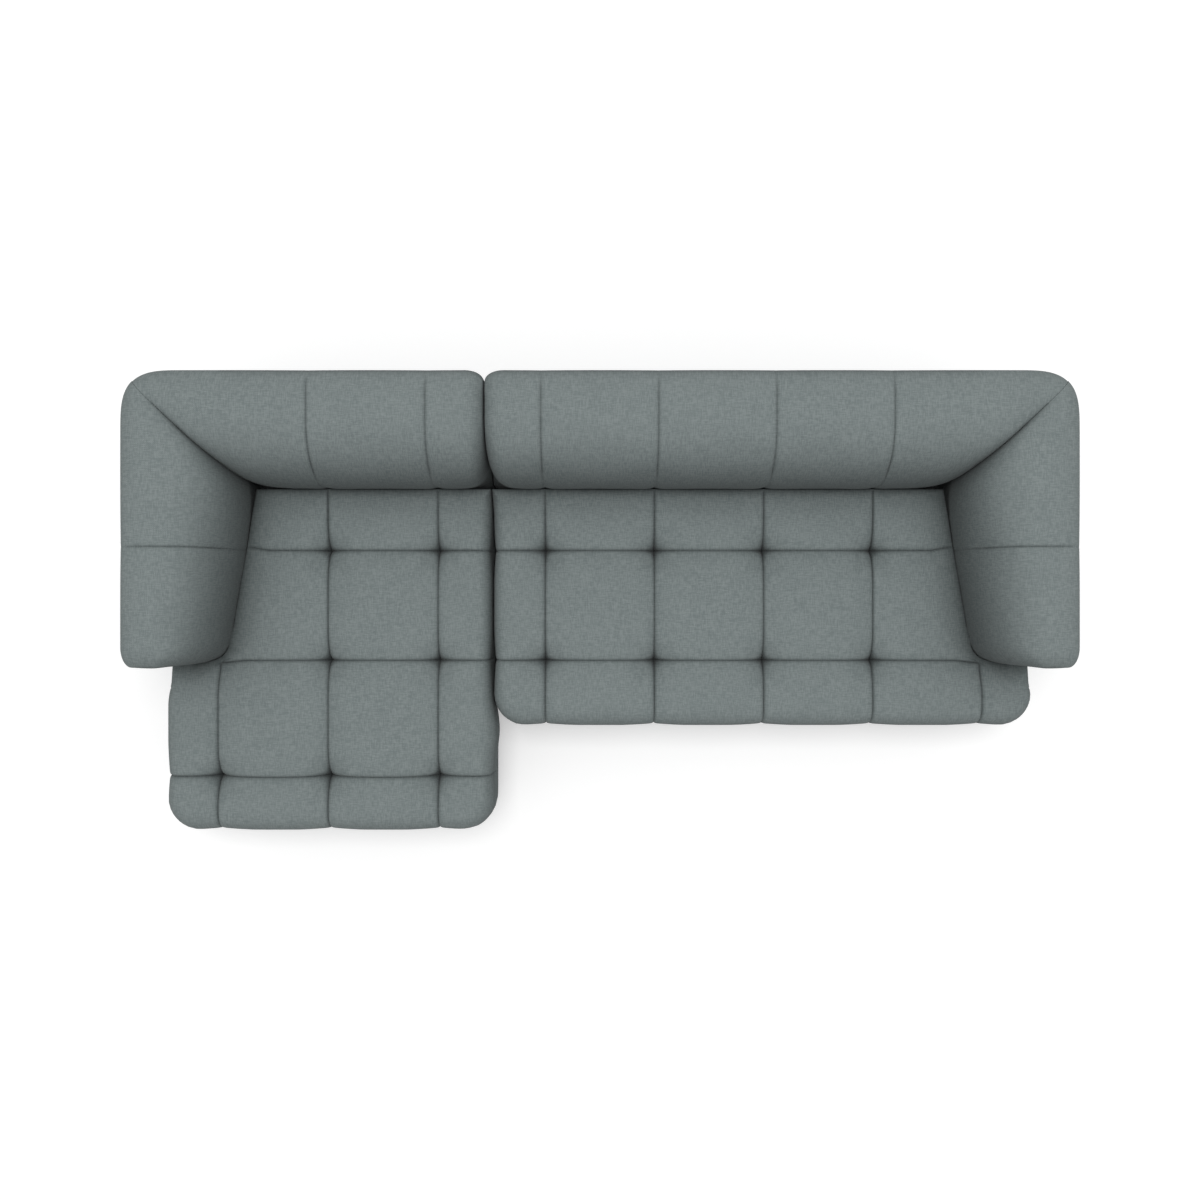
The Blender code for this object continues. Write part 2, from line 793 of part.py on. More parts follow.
def build_base(module, parts, parent):
    """Timber base frame and the webbing across it."""
    name = module.name
    joint, outer = JOINT_WALL, module.frame_outer
    front, rear = module.frame_front, FRAME_REAR
    seat_rear_front = SEAT_REAR_Y - RAIL_WIDTH / 2
    seat_rear_back = SEAT_REAR_Y + RAIL_WIDTH / 2
    inner_joint = joint + RAIL_WIDTH + GAP
    inner_outer = outer - RAIL_WIDTH - GAP
    spans = {
        "joint_side_rail": ((joint, front), (joint + RAIL_WIDTH, rear)),
        "arm_side_rail": ((outer - RAIL_WIDTH, front), (outer, rear)),
        "front_rail": ((inner_joint, front), (inner_outer, front + RAIL_WIDTH)),
        "back_rail": ((inner_joint, rear - RAIL_WIDTH), (inner_outer, rear)),
        "seat_rear_rail": ((inner_joint, seat_rear_front), (inner_outer, seat_rear_back)),
    }
    for label, (start, end) in spans.items():
        rail = box(
            f"{name}_{label}",
            (module.x(start[0]), start[1], BASE_BOTTOM),
            (module.x(end[0]), end[1], RAIL_TOP),
            parts,
            parent,
        )
        dress(rail, TIMBER)
    middle = (joint + outer) / 2
    stretcher = box(
        f"{name}_middle_stretcher",
        (module.x(middle - STRETCHER_WIDTH / 2), front + RAIL_WIDTH + GAP, BASE_BOTTOM),
        (
            module.x(middle + STRETCHER_WIDTH / 2),
            seat_rear_front - GAP,
            BASE_BOTTOM + STRETCHER_HEIGHT,
        ),
        parts,
        parent,
    )
    dress(stretcher, TIMBER)
    build_webbing(module, parts, parent)


def strap_places(start, end):
    """Middles of the straps that fit between two lines, evenly spaced."""
    count = max(2, round((end - start - STRAP_WIDTH) / STRAP_PITCH) + 1)
    step = (end - start - STRAP_WIDTH) / (count - 1)
    return [start + STRAP_WIDTH / 2 + step * number for number in range(count)]


def build_webbing(module, parts, parent):
    """Woven webbing, as a flat mat with a square hole between each two straps."""
    low_x = JOINT_WALL + RAIL_WIDTH - WEBBING_LAP
    high_x = module.frame_outer - RAIL_WIDTH + WEBBING_LAP
    low_y = module.frame_front + RAIL_WIDTH - WEBBING_LAP
    high_y = SEAT_REAR_Y - RAIL_WIDTH / 2 + WEBBING_LAP
    across = strap_places(low_x, high_x)
    down = strap_places(low_y, high_y)
    half = STRAP_WIDTH / 2
    edges_x = [edge for middle in across for edge in (middle - half, middle + half)]
    edges_y = [edge for middle in down for edge in (middle - half, middle + half)]
    bm = bmesh.new()
    columns, rows = len(edges_x) - 1, len(edges_y) - 1
    bmesh.ops.create_grid(bm, x_segments=columns, y_segments=rows, size=1.0)
    holes = []
    for face in bm.faces:
        middle = face.calc_center_median()
        column = int((middle.x + 1) / 2 * columns)
        row = int((middle.y + 1) / 2 * rows)
        if column % 2 and row % 2:
            holes.append(face)
    bmesh.ops.delete(bm, geom=holes, context="FACES")
    for vert in bm.verts:
        length = edges_x[round((vert.co.x + 1) / 2 * columns)]
        y = edges_y[round((vert.co.y + 1) / 2 * rows)]
        vert.co = (module.x(length), y, RAIL_TOP + GAP)
    raised = bmesh.ops.extrude_face_region(bm, geom=list(bm.faces))["geom"]
    lifted = [item for item in raised if isinstance(item, bmesh.types.BMVert)]
    bmesh.ops.translate(bm, verts=lifted, vec=(0, 0, WEBBING_THICKNESS))
    webbing = object_from(bm, f"{module.name}_webbing", parts, parent)
    dress(webbing, WEBBING)


def build_seat(module, parts, cutters, parent):
    """Seat foam and the quilted cover over it."""
    name = module.name
    foam = prism(f"{name}_seat_foam", seat_outline(module, 0.0), DECK, FOAM_TOP, parts, parent)
    dress(foam, FOAM)
    cover = seat_block(module, f"{name}_seat_cover", parts, parent)
    hollow = prism(
        f"{name}_seat_hollow",
        seat_outline(module, GAP),
        DECK - REACH,
        FOAM_TOP + GAP,
        cutters,
        parent,
    )
    cut(cover, as_cutter(hollow))
    cut(cover, base_space(module, "seat", cutters, parent))
    dress(cover, WOVEN_FABRIC)
    smooth(cover)


def base_space(module, label, cutters, parent):
    """The space of the base frame, which the covers reach round."""
    return as_cutter(
        box(
            f"{module.name}_{label}_base_space",
            (module.x(JOINT_WALL - GAP), module.frame_front - GAP, BASE_BOTTOM - REACH),
            (module.x(module.frame_outer + GAP), FRAME_REAR + GAP, DECK),
            cutters,
            parent,
        )
    )


def build_back(module, parts, cutters, parent):
    """Back frame, back foam and the padded cover over them."""
    name = module.name
    outer = module.frame_outer
    front = FRAME_REAR - POST_DEPTH
    post_top = FRAME_TOP - TOP_RAIL_HEIGHT - GAP
    spans = {
        "back_joint_post": ((JOINT_WALL, FRAME_BASE), (JOINT_WALL + POST_WIDTH, post_top)),
        "back_outer_post": ((outer - POST_WIDTH, FRAME_BASE), (outer, post_top)),
        "back_top_rail": ((JOINT_WALL, FRAME_TOP - TOP_RAIL_HEIGHT), (outer, FRAME_TOP)),
    }
    for label, (start, end) in spans.items():
        piece = box(
            f"{name}_{label}",
            (module.x(start[0]), front, start[1]),
            (module.x(end[0]), FRAME_REAR, end[1]),
            parts,
            parent,
        )
        dress(piece, TIMBER)
    board_back = front - GAP
    board_front = board_back - BOARD_THICKNESS
    board = box(
        f"{name}_back_board",
        (module.x(JOINT_WALL), board_front, FRAME_BASE),
        (module.x(outer - POST_DEPTH - GAP), board_back, FRAME_TOP),
        parts,
        parent,
    )
    dress(board, PLYWOOD)

    place = back_place(module)
    foam_outer = BACK_Y - board_front + GAP
    run_end = module.arm_outer - JOINT_WALL
    arm_frame = module.arm_outer - outer + POST_DEPTH + GAP
    foam = loft(
        f"{name}_back_foam",
        foam_rings([run_end], foam_outer, lambda along: BACK_THICKNESS, arm_frame, place),
        parts,
        parent,
    )
    dress(foam, FOAM)
    cover = back_block(module, f"{name}_back_cover", parts, parent)
    hollow = loft(
        f"{name}_back_hollow",
        core_rings(
            [FRAME_INSET / 2, run_end + GAP],
            FRAME_INSET,
            lambda along: BACK_THICKNESS,
            GAP,
            place,
        ),
        cutters,
        parent,
    )
    cut(cover, as_cutter(hollow))
    cut(cover, base_space(module, "back", cutters, parent))
    dress(cover, WOVEN_FABRIC)
    smooth(cover)


def build_arm(module, parts, cutters, parent):
    """Arm frame, arm foam and the padded cover over them."""
    name = module.name
    outer = module.frame_outer
    inner = outer - POST_DEPTH
    front = ARM_FRONT_Y + INNER_WALL
    rear = FRAME_REAR - POST_DEPTH - GAP
    post_top = FRAME_TOP - TOP_RAIL_HEIGHT - GAP
    spans = {
        "arm_front_post": ((front, FRAME_BASE), (front + POST_WIDTH, post_top)),
        "arm_top_rail": ((front, FRAME_TOP - TOP_RAIL_HEIGHT), (rear, FRAME_TOP)),
    }
    for label, (start, end) in spans.items():
        piece = box(
            f"{name}_{label}",
            (module.x(inner), start[0], start[1]),
            (module.x(outer), end[0], end[1]),
            parts,
            parent,
        )
        dress(piece, TIMBER)

    place = arm_place(module)
    frame_inward = module.arm_outer - outer
    run_end = BACK_Y - front
    foam_outer = frame_inward + POST_DEPTH + GAP
    foam = loft(
        f"{name}_arm_foam",
        foam_rings([BACK_THICKNESS + GAP, run_end], foam_outer, arm_thickness, 0.0, place),
        parts,
        parent,
    )
    dress(foam, FOAM)
    cover = arm_block(module, f"{name}_arm_cover", parts, parent)
    hollow = loft(
        f"{name}_arm_hollow",
        core_rings(
            [FRAME_INSET / 2, BACK_THICKNESS, run_end + GAP],
            frame_inward,
            arm_thickness,
            GAP,
            place,
        ),
        cutters,
        parent,
    )
    cut(cover, as_cutter(hollow))
    cut(cover, base_space(module, "arm", cutters, parent))
    dress(cover, WOVEN_FABRIC)
    smooth(cover)


def build_legs(module, parts, parent):
    """Dust cover, four tapered legs and the glides under them."""
    name = module.name
    dust_cover = box(
        f"{name}_dust_cover",
        (module.x(DUST_COVER_INSET), module.front + DUST_COVER_INSET, DUST_COVER_BOTTOM),
        (module.x(module.seat_outer - DUST_COVER_INSET), BACK_Y - DUST_COVER_INSET, DUST_COVER_TOP),
        parts,
        parent,
    )
    dress(dust_cover, DUST_CLOTH)
    half = LEG_TOP / 2 + LEG_INSET
    lengths = {"joint": JOINT_WALL + half, "arm": module.frame_outer - half}
    places = {"front": module.frame_front + half, "rear": FRAME_REAR - half}
    for row, y in places.items():
        for column, length in lengths.items():
            spot = Vector((module.x(length), y, 0))
            leg(f"{name}_{row}_{column}_leg", spot, parts, parent)
            glide(f"{name}_{row}_{column}_glide", spot, parts, parent)


def leg(name, spot, parts, parent):
    """A square leg that gets thinner towards the floor."""
    foot = GLIDE_THICKNESS + GAP
    height = UNDERSIDE - foot
    bm = bmesh.new()
    bmesh.ops.create_cube(bm, size=1.0)
    bmesh.ops.scale(bm, vec=(LEG_TOP, LEG_TOP, height), verts=bm.verts)
    lower = [vert for vert in bm.verts if vert.co.z < 0]
    taper = LEG_FOOT / LEG_TOP
    bmesh.ops.scale(bm, vec=(taper, taper, 1), verts=lower)
    piece = object_from(bm, name, parts, parent)
    piece.location = spot + Vector((0, 0, foot + height / 2))
    bevel = piece.modifiers.new("edges", "BEVEL")
    bevel.width = LEG_EDGE
    bevel.segments = 2
    dress(piece, LEG_WOOD)


def glide(name, spot, parts, parent):
    """A round glide between the leg and the floor."""
    bm = bmesh.new()
    bmesh.ops.create_cone(
        bm,
        cap_ends=True,
        segments=GLIDE_SIDES,
        radius1=GLIDE_RADIUS,
        radius2=GLIDE_RADIUS,
        depth=GLIDE_THICKNESS,
    )
    piece = object_from(bm, name, parts, parent)
    piece.location = spot + Vector((0, 0, GLIDE_THICKNESS / 2))
    dress(piece, FELT)


def pin_length_in_plan():
    """Length from the settee's joint face to the middle of a connector pin."""
    return JOINT_WALL + RAIL_WIDTH / 2


def build_pin(label, y, parts, cutters, parent):
    """A plate under the settee's rail with a pin that points down."""
    name = f"settee_{label}_pin"
    half = CONNECTOR_WIDTH / 2
    low = UNDERSIDE - PIN_PLATE_THICKNESS
    plate = box(
        name,
        (SETTEE.x(JOINT_WALL), y - half, low),
        (SETTEE.x(JOINT_WALL + RAIL_WIDTH), y + half, UNDERSIDE),
        parts,
        parent,
    )
    root = PIN_PLATE_THICKNESS / 2
    bm = bmesh.new()
    bmesh.ops.create_cone(
        bm,
        cap_ends=True,
        segments=PIN_SIDES,
        radius1=PIN_TIP_RADIUS,
        radius2=PIN_RADIUS,
        depth=PIN_LENGTH + root,
    )
    shank = as_cutter(object_from(bm, f"{name}_shank", cutters, parent))
    middle = low + root - (PIN_LENGTH + root) / 2
    shank.location = (SETTEE.x(pin_length_in_plan()), y, middle)
    cut(plate, shank, "UNION")
    dress(plate, STEEL)


def build_receiver(label, y, parts, cutters, parent):
    """A plate under the chaise's rail that reaches under the settee and takes its pin."""
    name = f"chaise_{label}_receiver"
    half = CONNECTOR_WIDTH / 2
    top = UNDERSIDE - PIN_PLATE_THICKNESS - GAP
    low = top - RECEIVER_THICKNESS
    tongue = box(
        name,
        (CHAISE.x(JOINT_WALL + RAIL_WIDTH), y - half, low),
        (SETTEE.x(JOINT_WALL + RAIL_WIDTH), y + half, top),
        parts,
        parent,
    )
    pad = as_cutter(
        box(
            f"{name}_pad",
            (CHAISE.x(JOINT_WALL + RAIL_WIDTH), y - half, low),
            (CHAISE.x(JOINT_WALL), y + half, UNDERSIDE),
            cutters,
            parent,
        )
    )
    cut(tongue, pad, "UNION")
    bm = bmesh.new()
    bmesh.ops.create_cone(
        bm,
        cap_ends=True,
        segments=PIN_SIDES,
        radius1=PIN_RADIUS + PIN_CLEARANCE,
        radius2=PIN_RADIUS + PIN_CLEARANCE,
        depth=RECEIVER_THICKNESS * 3,
    )
    hole = as_cutter(object_from(bm, f"{name}_hole", cutters, parent))
    hole.location = (SETTEE.x(pin_length_in_plan()), y, (low + top) / 2)
    cut(tongue, hole)
    dress(tongue, STEEL)


def module_frame(module, collection):
    """Empty that carries every piece of one module."""
    empty = bpy.data.objects.new(f"{module.name}_module", None)
    collection.objects.link(empty)
    return empty


def main():
    """Build both modules and the connectors between them."""
    clear_scene()
    parts = new_collection("modular_sofa")
    cutters = new_collection("cutters")
    frames = {}
    for module in (CHAISE, SETTEE):
        parent = module_frame(module, parts)
        frames[module.name] = parent
        build_base(module, parts, parent)
        build_seat(module, parts, cutters, parent)
        build_back(module, parts, cutters, parent)
        build_arm(module, parts, cutters, parent)
        build_legs(module, parts, parent)
    connectors = {
        "front": SETTEE_FRONT_Y + FRONT_CONNECTOR_SETBACK,
        "rear": BACK_Y - REAR_CONNECTOR_SETBACK,
    }
    for label, y in connectors.items():
        build_receiver(label, y, parts, cutters, frames["chaise"])
        build_pin(label, y, parts, cutters, frames["settee"])


main()
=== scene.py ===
"""Looks of the modular sofa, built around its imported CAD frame.

Metres, +Z up. The origin is on the floor, in the middle of the sofa's outline, and the seats face -Y.
"""

import itertools
import json
import logging
import math
from collections.abc import Sequence
from dataclasses import dataclass
from enum import Enum
from functools import cached_property

import bmesh
import bpy
import numpy as np
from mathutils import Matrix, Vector


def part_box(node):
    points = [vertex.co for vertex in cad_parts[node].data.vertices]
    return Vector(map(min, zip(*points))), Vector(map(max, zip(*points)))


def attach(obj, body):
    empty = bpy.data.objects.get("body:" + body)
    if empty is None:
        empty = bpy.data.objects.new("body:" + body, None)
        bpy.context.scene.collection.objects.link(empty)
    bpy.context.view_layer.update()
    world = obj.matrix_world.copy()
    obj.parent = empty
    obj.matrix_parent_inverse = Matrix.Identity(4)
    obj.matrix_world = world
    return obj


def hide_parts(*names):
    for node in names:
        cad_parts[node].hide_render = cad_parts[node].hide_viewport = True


LOG = logging.getLogger("sofa")
# Point attribute of painted shade, which darkens the cloth's colour in creases, tufts and the corners where
# the parts meet.
PAINTED_SHADE_LAYER = "dusk"
# How far a cutter reaches past the skin that it opens.
CUT_PAST = 0.05
# How strongly mesh lines gather beside a seam, from 0 to 1.
BUNCHING = 0.68

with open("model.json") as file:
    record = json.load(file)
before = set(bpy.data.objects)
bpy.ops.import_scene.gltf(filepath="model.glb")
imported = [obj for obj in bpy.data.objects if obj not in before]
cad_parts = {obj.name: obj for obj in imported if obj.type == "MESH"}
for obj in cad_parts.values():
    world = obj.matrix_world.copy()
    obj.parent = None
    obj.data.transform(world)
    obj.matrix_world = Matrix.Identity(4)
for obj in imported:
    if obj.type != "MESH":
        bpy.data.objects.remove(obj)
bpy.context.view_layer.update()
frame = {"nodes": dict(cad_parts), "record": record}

Colour = tuple[float, float, float]
Array = np.ndarray


class Body(Enum):
    """CAD bodies that the pieces ride on."""

    CHAISE = "chaise"
    SETTEE = "settee"


class Slot(Enum):
    """Material slots of the record."""

    COVER = "cover_fabric"
    FOAM = "foam"
    TIMBER = "timber"
    PLYWOOD = "plywood"
    WEBBING = "webbing"
    DUST_CLOTH = "dust_cloth"
    LEG = "leg_wood"
    FELT = "felt"
    STEEL = "steel"


class Axis(Enum):
    """Direction that a grain or a strap runs in."""

    X = 0
    Y = 1
    Z = 2


# Shader building


class Wire:
    """A value between shader nodes, whose operators add Math nodes."""

    def __init__(self, bench: "Bench", socket: bpy.types.NodeSocket) -> None:
        """Keep the socket and the bench that it belongs to."""
        self.bench = bench
        self.socket = socket

    def maths(self, operation: str, *values: "Wire | float") -> "Wire":
        """Add a Math node over some values.

        Args:
            operation: The Math node's operation.
            values: Its inputs, in order.

        Returns:
            The node's value.
        """
        return self.bench.node("Math", {"operation": operation}, dict(enumerate(values)))

    def __add__(self, other: "Wire | float") -> "Wire":
        """Sum of this value and another."""
        return self.maths("ADD", self, other)

    __radd__ = __add__

    def __sub__(self, other: "Wire | float") -> "Wire":
        """This value less another."""
        return self.maths("SUBTRACT", self, other)

    def __rsub__(self, other: "Wire | float") -> "Wire":
        """Another value less this one."""
        return self.maths("SUBTRACT", other, self)

    def __mul__(self, other: "Wire | float") -> "Wire":
        """Product of this value and another."""
        return self.maths("MULTIPLY", self, other)

    __rmul__ = __mul__

    def __abs__(self) -> "Wire":
        """This value without its sign."""
        return self.maths("ABSOLUTE", self)

    def sine(self) -> "Wire":
        """Sine of this value."""
        return self.maths("SINE", self)

    def above(self, low: float, high: float) -> "Wire":
        """Share of the way from a low value to a high one, from 0 to 1."""
        settings = {"interpolation_type": "SMOOTHSTEP"}
        return self.bench.node("MapRange", settings, {"Value": self, "From Min": low, "From Max": high})


class Bench:
    """Adds the nodes of one material."""

    def __init__(self, name: str) -> None:
        """Start a material with its principled shader."""
        self.material = bpy.data.materials.new(name)
        self.material.use_nodes = True
        self.tree = self.material.node_tree
        self.shader = self.tree.nodes["Principled BSDF"]

    def node(self, kind: str, settings: dict, inputs: dict, out: int | str = 0) -> Wire:
        """Add a node of any type.

        Args:
            kind: The node's type, without its ShaderNode prefix.
            settings: Its own settings, which are set first.
            inputs: Values or wires of its sockets, by name or number.
            out: Which output to return.

        Returns:
            The wire of that output.
        """
        node = self.tree.nodes.new("ShaderNode" + kind)
        for name, value in settings.items():
            setattr(node, name, value)
        for name, value in inputs.items():
            self.feed(node.inputs[name], value)
        return Wire(self, node.outputs[out])

    def feed(self, socket: bpy.types.NodeSocket, value: "Wire | float | Sequence[float]") -> None:
        """Link a wire to a socket, or set the socket's value."""
        if isinstance(value, Wire):
            self.tree.links.new(value.socket, socket)
        else:
            socket.default_value = value

    def place(self) -> Wire:
        """Position on the object at rest."""
        return self.node("TexCoord", {}, {}, "Object")

    def split(self, vector: Wire) -> list[Wire]:
        """The three components of a vector."""
        return [self.node("SeparateXYZ", {}, {0: vector}, number) for number in range(3)]

    def scaled(self, vector: Wire, scale: Sequence[float]) -> Wire:
        """A vector multiplied by a scale on each axis."""
        return self.node("VectorMath", {"operation": "MULTIPLY"}, {0: vector, 1: tuple(scale)})

    def noise(self, vector: Wire, scale: float = 1.0, detail: float = 2.0, rough: float = 0.5) -> Wire:
        """Smooth noise from 0 to 1 at a scale in features per metre."""
        inputs = {"Vector": vector, "Scale": scale, "Detail": detail, "Roughness": rough}
        return self.node("TexNoise", {}, inputs)

    def blend(self, mask: "Wire | float", low: "Wire | Colour", high: "Wire | Colour") -> Wire:
        """Mix two colours.

        Args:
            mask: Share of the second colour.
            low: The first colour.
            high: The second colour.

        Returns:
            The mixed colour.
        """
        ends = [end if isinstance(end, Wire) else (*end, 1.0) for end in (low, high)]
        return self.node("Mix", {"data_type": "RGBA"}, {0: mask, 6: ends[0], 7: ends[1]}, 2)

    def finish(
        self,
        colour: "Wire | Colour",
        roughness: "Wire | float",
        height: Wire | None = None,
        depth: float = 0.0,
        **constants: float,
    ) -> bpy.types.Material:
        """Feed the principled shader.

        Args:
            colour: Base colour.
            roughness: Roughness.
            height: Height for the bump, from 0 to 1.
            depth: Depth of the bump in metres.
            constants: Values of other sockets that are alike all over, with _ for a space.

        Returns:
            The finished material.
        """
        base = colour if isinstance(colour, Wire) else (*colour, 1.0)
        self.feed(self.shader.inputs["Base Color"], base)
        self.feed(self.shader.inputs["Roughness"], roughness)
        if height is not None:
            bump = self.node("Bump", {}, {"Height": height, "Distance": depth, "Strength": 1.0})
            self.feed(self.shader.inputs["Normal"], bump)
        for name, value in constants.items():
            self.shader.inputs[name.replace("_", " ")].default_value = value
        return self.material


# Finishes


@dataclass(frozen=True)
class WovenFabric:
    """Slate grey-green upholstery cloth in a plain weave of heathered yarns."""

    name: str = "slate_woven_fabric"
    light: Colour = (0.222, 0.254, 0.252)
    dark: Colour = (0.158, 0.187, 0.187)
    fleck: Colour = (0.300, 0.330, 0.325)
    fleck_share: float = 0.35
    # Near-black colour of the painted shade.
    painted_shade_colour: Colour = (0.012, 0.014, 0.014)
    yarn: float = 0.0028
    slub: float = 0.020
    depth: float = 0.0007
    roughness: float = 0.93
    sheen: float = 0.06
    shine: float = 0.15

    def material(self) -> bpy.types.Material:
        """Build the cloth's material."""
        bench = Bench(self.name)
        place = bench.place()
        normal = bench.split(bench.node("NewGeometry", {}, {}, "Normal"))
        facing = [abs(part) for part in normal]
        along, across = 1 / self.slub, 1 / self.yarn
        yarns = []
        for axis in Axis:
            scale = [along] * 3
            scale[axis.value] = across
            yarns.append(bench.noise(bench.scaled(place, scale), 1.0, 1.0))
        lying = [1 - part * part for part in normal]
        heather = sum(yarn * share for yarn, share in zip(yarns, lying)) * 0.5
        cloud = bench.noise(place, 9.0, 3.0)
        tone = heather.above(0.36, 0.64) * 0.9 + cloud.above(0.3, 0.7) * 0.1
        cloth = bench.blend(tone, self.dark, self.light)
        specks = bench.noise(place, 0.8 / self.yarn, 0.0).above(0.70, 0.80)
        cloth = bench.blend(specks * self.fleck_share, cloth, self.fleck)
        # Painted shade: the cloth's colour is darkened towards a near-black one as far as the point
        # attribute says.
        dusk = bench.node("Attribute", {"attribute_name": PAINTED_SHADE_LAYER}, {}, "Fac")
        cloth = bench.blend(dusk, cloth, self.painted_shade_colour)
        turns = 2 * math.pi / (2 * self.yarn)
        waves = [(part * turns).sine() for part in bench.split(place)]
        over = facing[2] * waves[0] * waves[1] + facing[1] * waves[0] * waves[2]
        over = over + facing[0] * waves[1] * waves[2]
        height = over * 0.30 + heather * 0.9
        roughness = tone * -0.08 + self.roughness + 0.04
        return bench.finish(
            cloth,
            roughness,
            height,
            self.depth,
            Sheen_Weight=self.sheen,
            Sheen_Roughness=0.5,
            Specular_IOR_Level=self.shine,
        )


@dataclass(frozen=True)
class Grained:
    """Wood whose grain runs along one axis."""

    name: str
    light: Colour
    dark: Colour
    roughness: float
    axis: Axis
    ring: float = 0.012
    depth: float = 0.0003
    coat: float = 0.0
    stretch: float = 0.07

    def material(self) -> bpy.types.Material:
        """Build the wood's material."""
        bench = Bench(f"{self.name}_{self.axis.name.lower()}")
        stretch = [1.0, 1.0, 1.0]
        stretch[self.axis.value] = self.stretch
        place = bench.scaled(bench.place(), stretch)
        warp = bench.noise(place, 9.0, 2.0)
        across = [part for number, part in enumerate(bench.split(place)) if number != self.axis.value]
        rings = ((across[0] + across[1] * 0.4 + warp * 0.05) * (2 * math.pi / self.ring)).sine()
        pores = bench.noise(place, 420.0, 2.0, 0.6)
        grain = rings * 0.22 + 0.42 + (pores - 0.5) * 0.9
        colour = bench.blend(grain.above(0.1, 0.9), self.dark, self.light)
        shade = bench.noise(bench.place(), 4.0, 1.0).above(0.2, 0.8)
        darker = tuple(part * 0.8 for part in self.dark)
        colour = bench.blend(shade * 0.25, colour, darker)
        roughness = pores * 0.2 + (self.roughness - 0.1)
        return bench.finish(
            colour, roughness, pores + rings * 0.1, self.depth, Coat_Weight=self.coat, Coat_Roughness=0.25
        )


@dataclass(frozen=True)
class FoamBlock:
    """Pale open-cell upholstery foam."""

    name: str = "cut_foam"
    light: Colour = (0.86, 0.80, 0.60)
    dark: Colour = (0.70, 0.62, 0.42)

    def material(self) -> bpy.types.Material:
        """Build the foam's material."""
        bench = Bench(self.name)
        place = bench.place()
        cells = bench.node("TexVoronoi", {}, {"Vector": place, "Scale": 420.0})
        patches = bench.noise(place, 7.0, 3.0)
        tone = cells.above(0.0, 0.7) * 0.6 + patches * 0.4
        return bench.finish(bench.blend(tone, self.dark, self.light), 0.95, cells, 0.0015)


@dataclass(frozen=True)
class StrapWeb:
    """Elastic webbing with ribs along the strap."""

    name: str = "elastic_webbing"
    light: Colour = (0.34, 0.30, 0.22)
    dark: Colour = (0.055, 0.050, 0.045)
    rib: float = 0.003

    def material(self) -> bpy.types.Material:
        """Build the strap's material."""
        bench = Bench(self.name)
        place = bench.place()
        parts = bench.split(place)
        turns = 2 * math.pi / self.rib
        ribs = (parts[0] * turns).sine() * (parts[1] * turns).sine()
        fuzz = bench.noise(place, 600.0, 2.0)
        tone = ribs * 0.25 + fuzz * 0.6
        colour = bench.blend(tone.above(0.1, 0.75), self.dark, self.light)
        return bench.finish(colour, fuzz * 0.15 + 0.75, ribs * 0.5 + fuzz, 0.0006)


@dataclass(frozen=True)
class FeltedCloth:
    """Cloth of tangled fibres, as under the base and on the glides."""

    name: str
    light: Colour
    dark: Colour
    fibre: float

    def material(self) -> bpy.types.Material:
        """Build the cloth's material."""
        bench = Bench(self.name)
        place = bench.place()
        one = bench.noise(bench.scaled(place, (1.0, 0.12, 1.0)), 1 / self.fibre, 3.0, 0.7)
        other = bench.noise(bench.scaled(place, (0.12, 1.0, 1.0)), 1 / self.fibre, 3.0, 0.7)
        fibres = one.maths("MAXIMUM", one, other)
        patches = bench.noise(place, 12.0, 2.0)
        tone = fibres.above(0.42, 0.72) * 0.8 + patches * 0.2
        return bench.finish(
            bench.blend(tone, self.dark, self.light), patches * 0.1 + 0.85, fibres, self.fibre / 2
        )


@dataclass(frozen=True)
class ZincSteel:
    """Zinc-plated pressed steel with faint rolling marks."""

    name: str = "zinc_plated_steel"
    light: Colour = (0.62, 0.63, 0.64)
    dark: Colour = (0.40, 0.41, 0.43)

    def material(self) -> bpy.types.Material:
        """Build the steel's material."""
        bench = Bench(self.name)
        place = bench.place()
        spangle = bench.node("TexVoronoi", {}, {"Vector": place, "Scale": 260.0}, "Color")
        facets = bench.split(spangle)[0]
        marks = bench.noise(bench.scaled(place, (1.0, 0.03, 1.0)), 900.0, 2.0)
        colour = bench.blend(facets * 0.5 + marks * 0.5, self.dark, self.light)
        roughness = marks * 0.25 + facets * 0.12 + 0.18
        return bench.finish(colour, roughness, marks, 0.00008, Metallic=1.0)


# Sizes that the covers and the pieces inside share


def smooth_share(values: Array, low: float, high: float) -> Array:
    """Share of the way from a low value to a high one, eased at both ends."""
    share = np.clip((values - low) / (high - low), 0.0, 1.0)
    return share * share * (3 - 2 * share)


def bunched(start: float, end: float, step: float, to_seam: bool = True) -> Array:
    """Places from a seam up to an end, closer together beside a seam.

    Args:
        start: The seam, which is the first place.
        end: End of the stretch, which is left out.
        step: Usual distance between places.
        to_seam: Whether a seam lies at the end too.

    Returns:
        The places.
    """
    count = max(3, math.ceil(abs(end - start) / step))
    share = np.arange(count) / count
    turn = 2 * math.pi if to_seam else math.pi
    share = share - BUNCHING * np.sin(turn * share) / turn
    return start + (end - start) * share


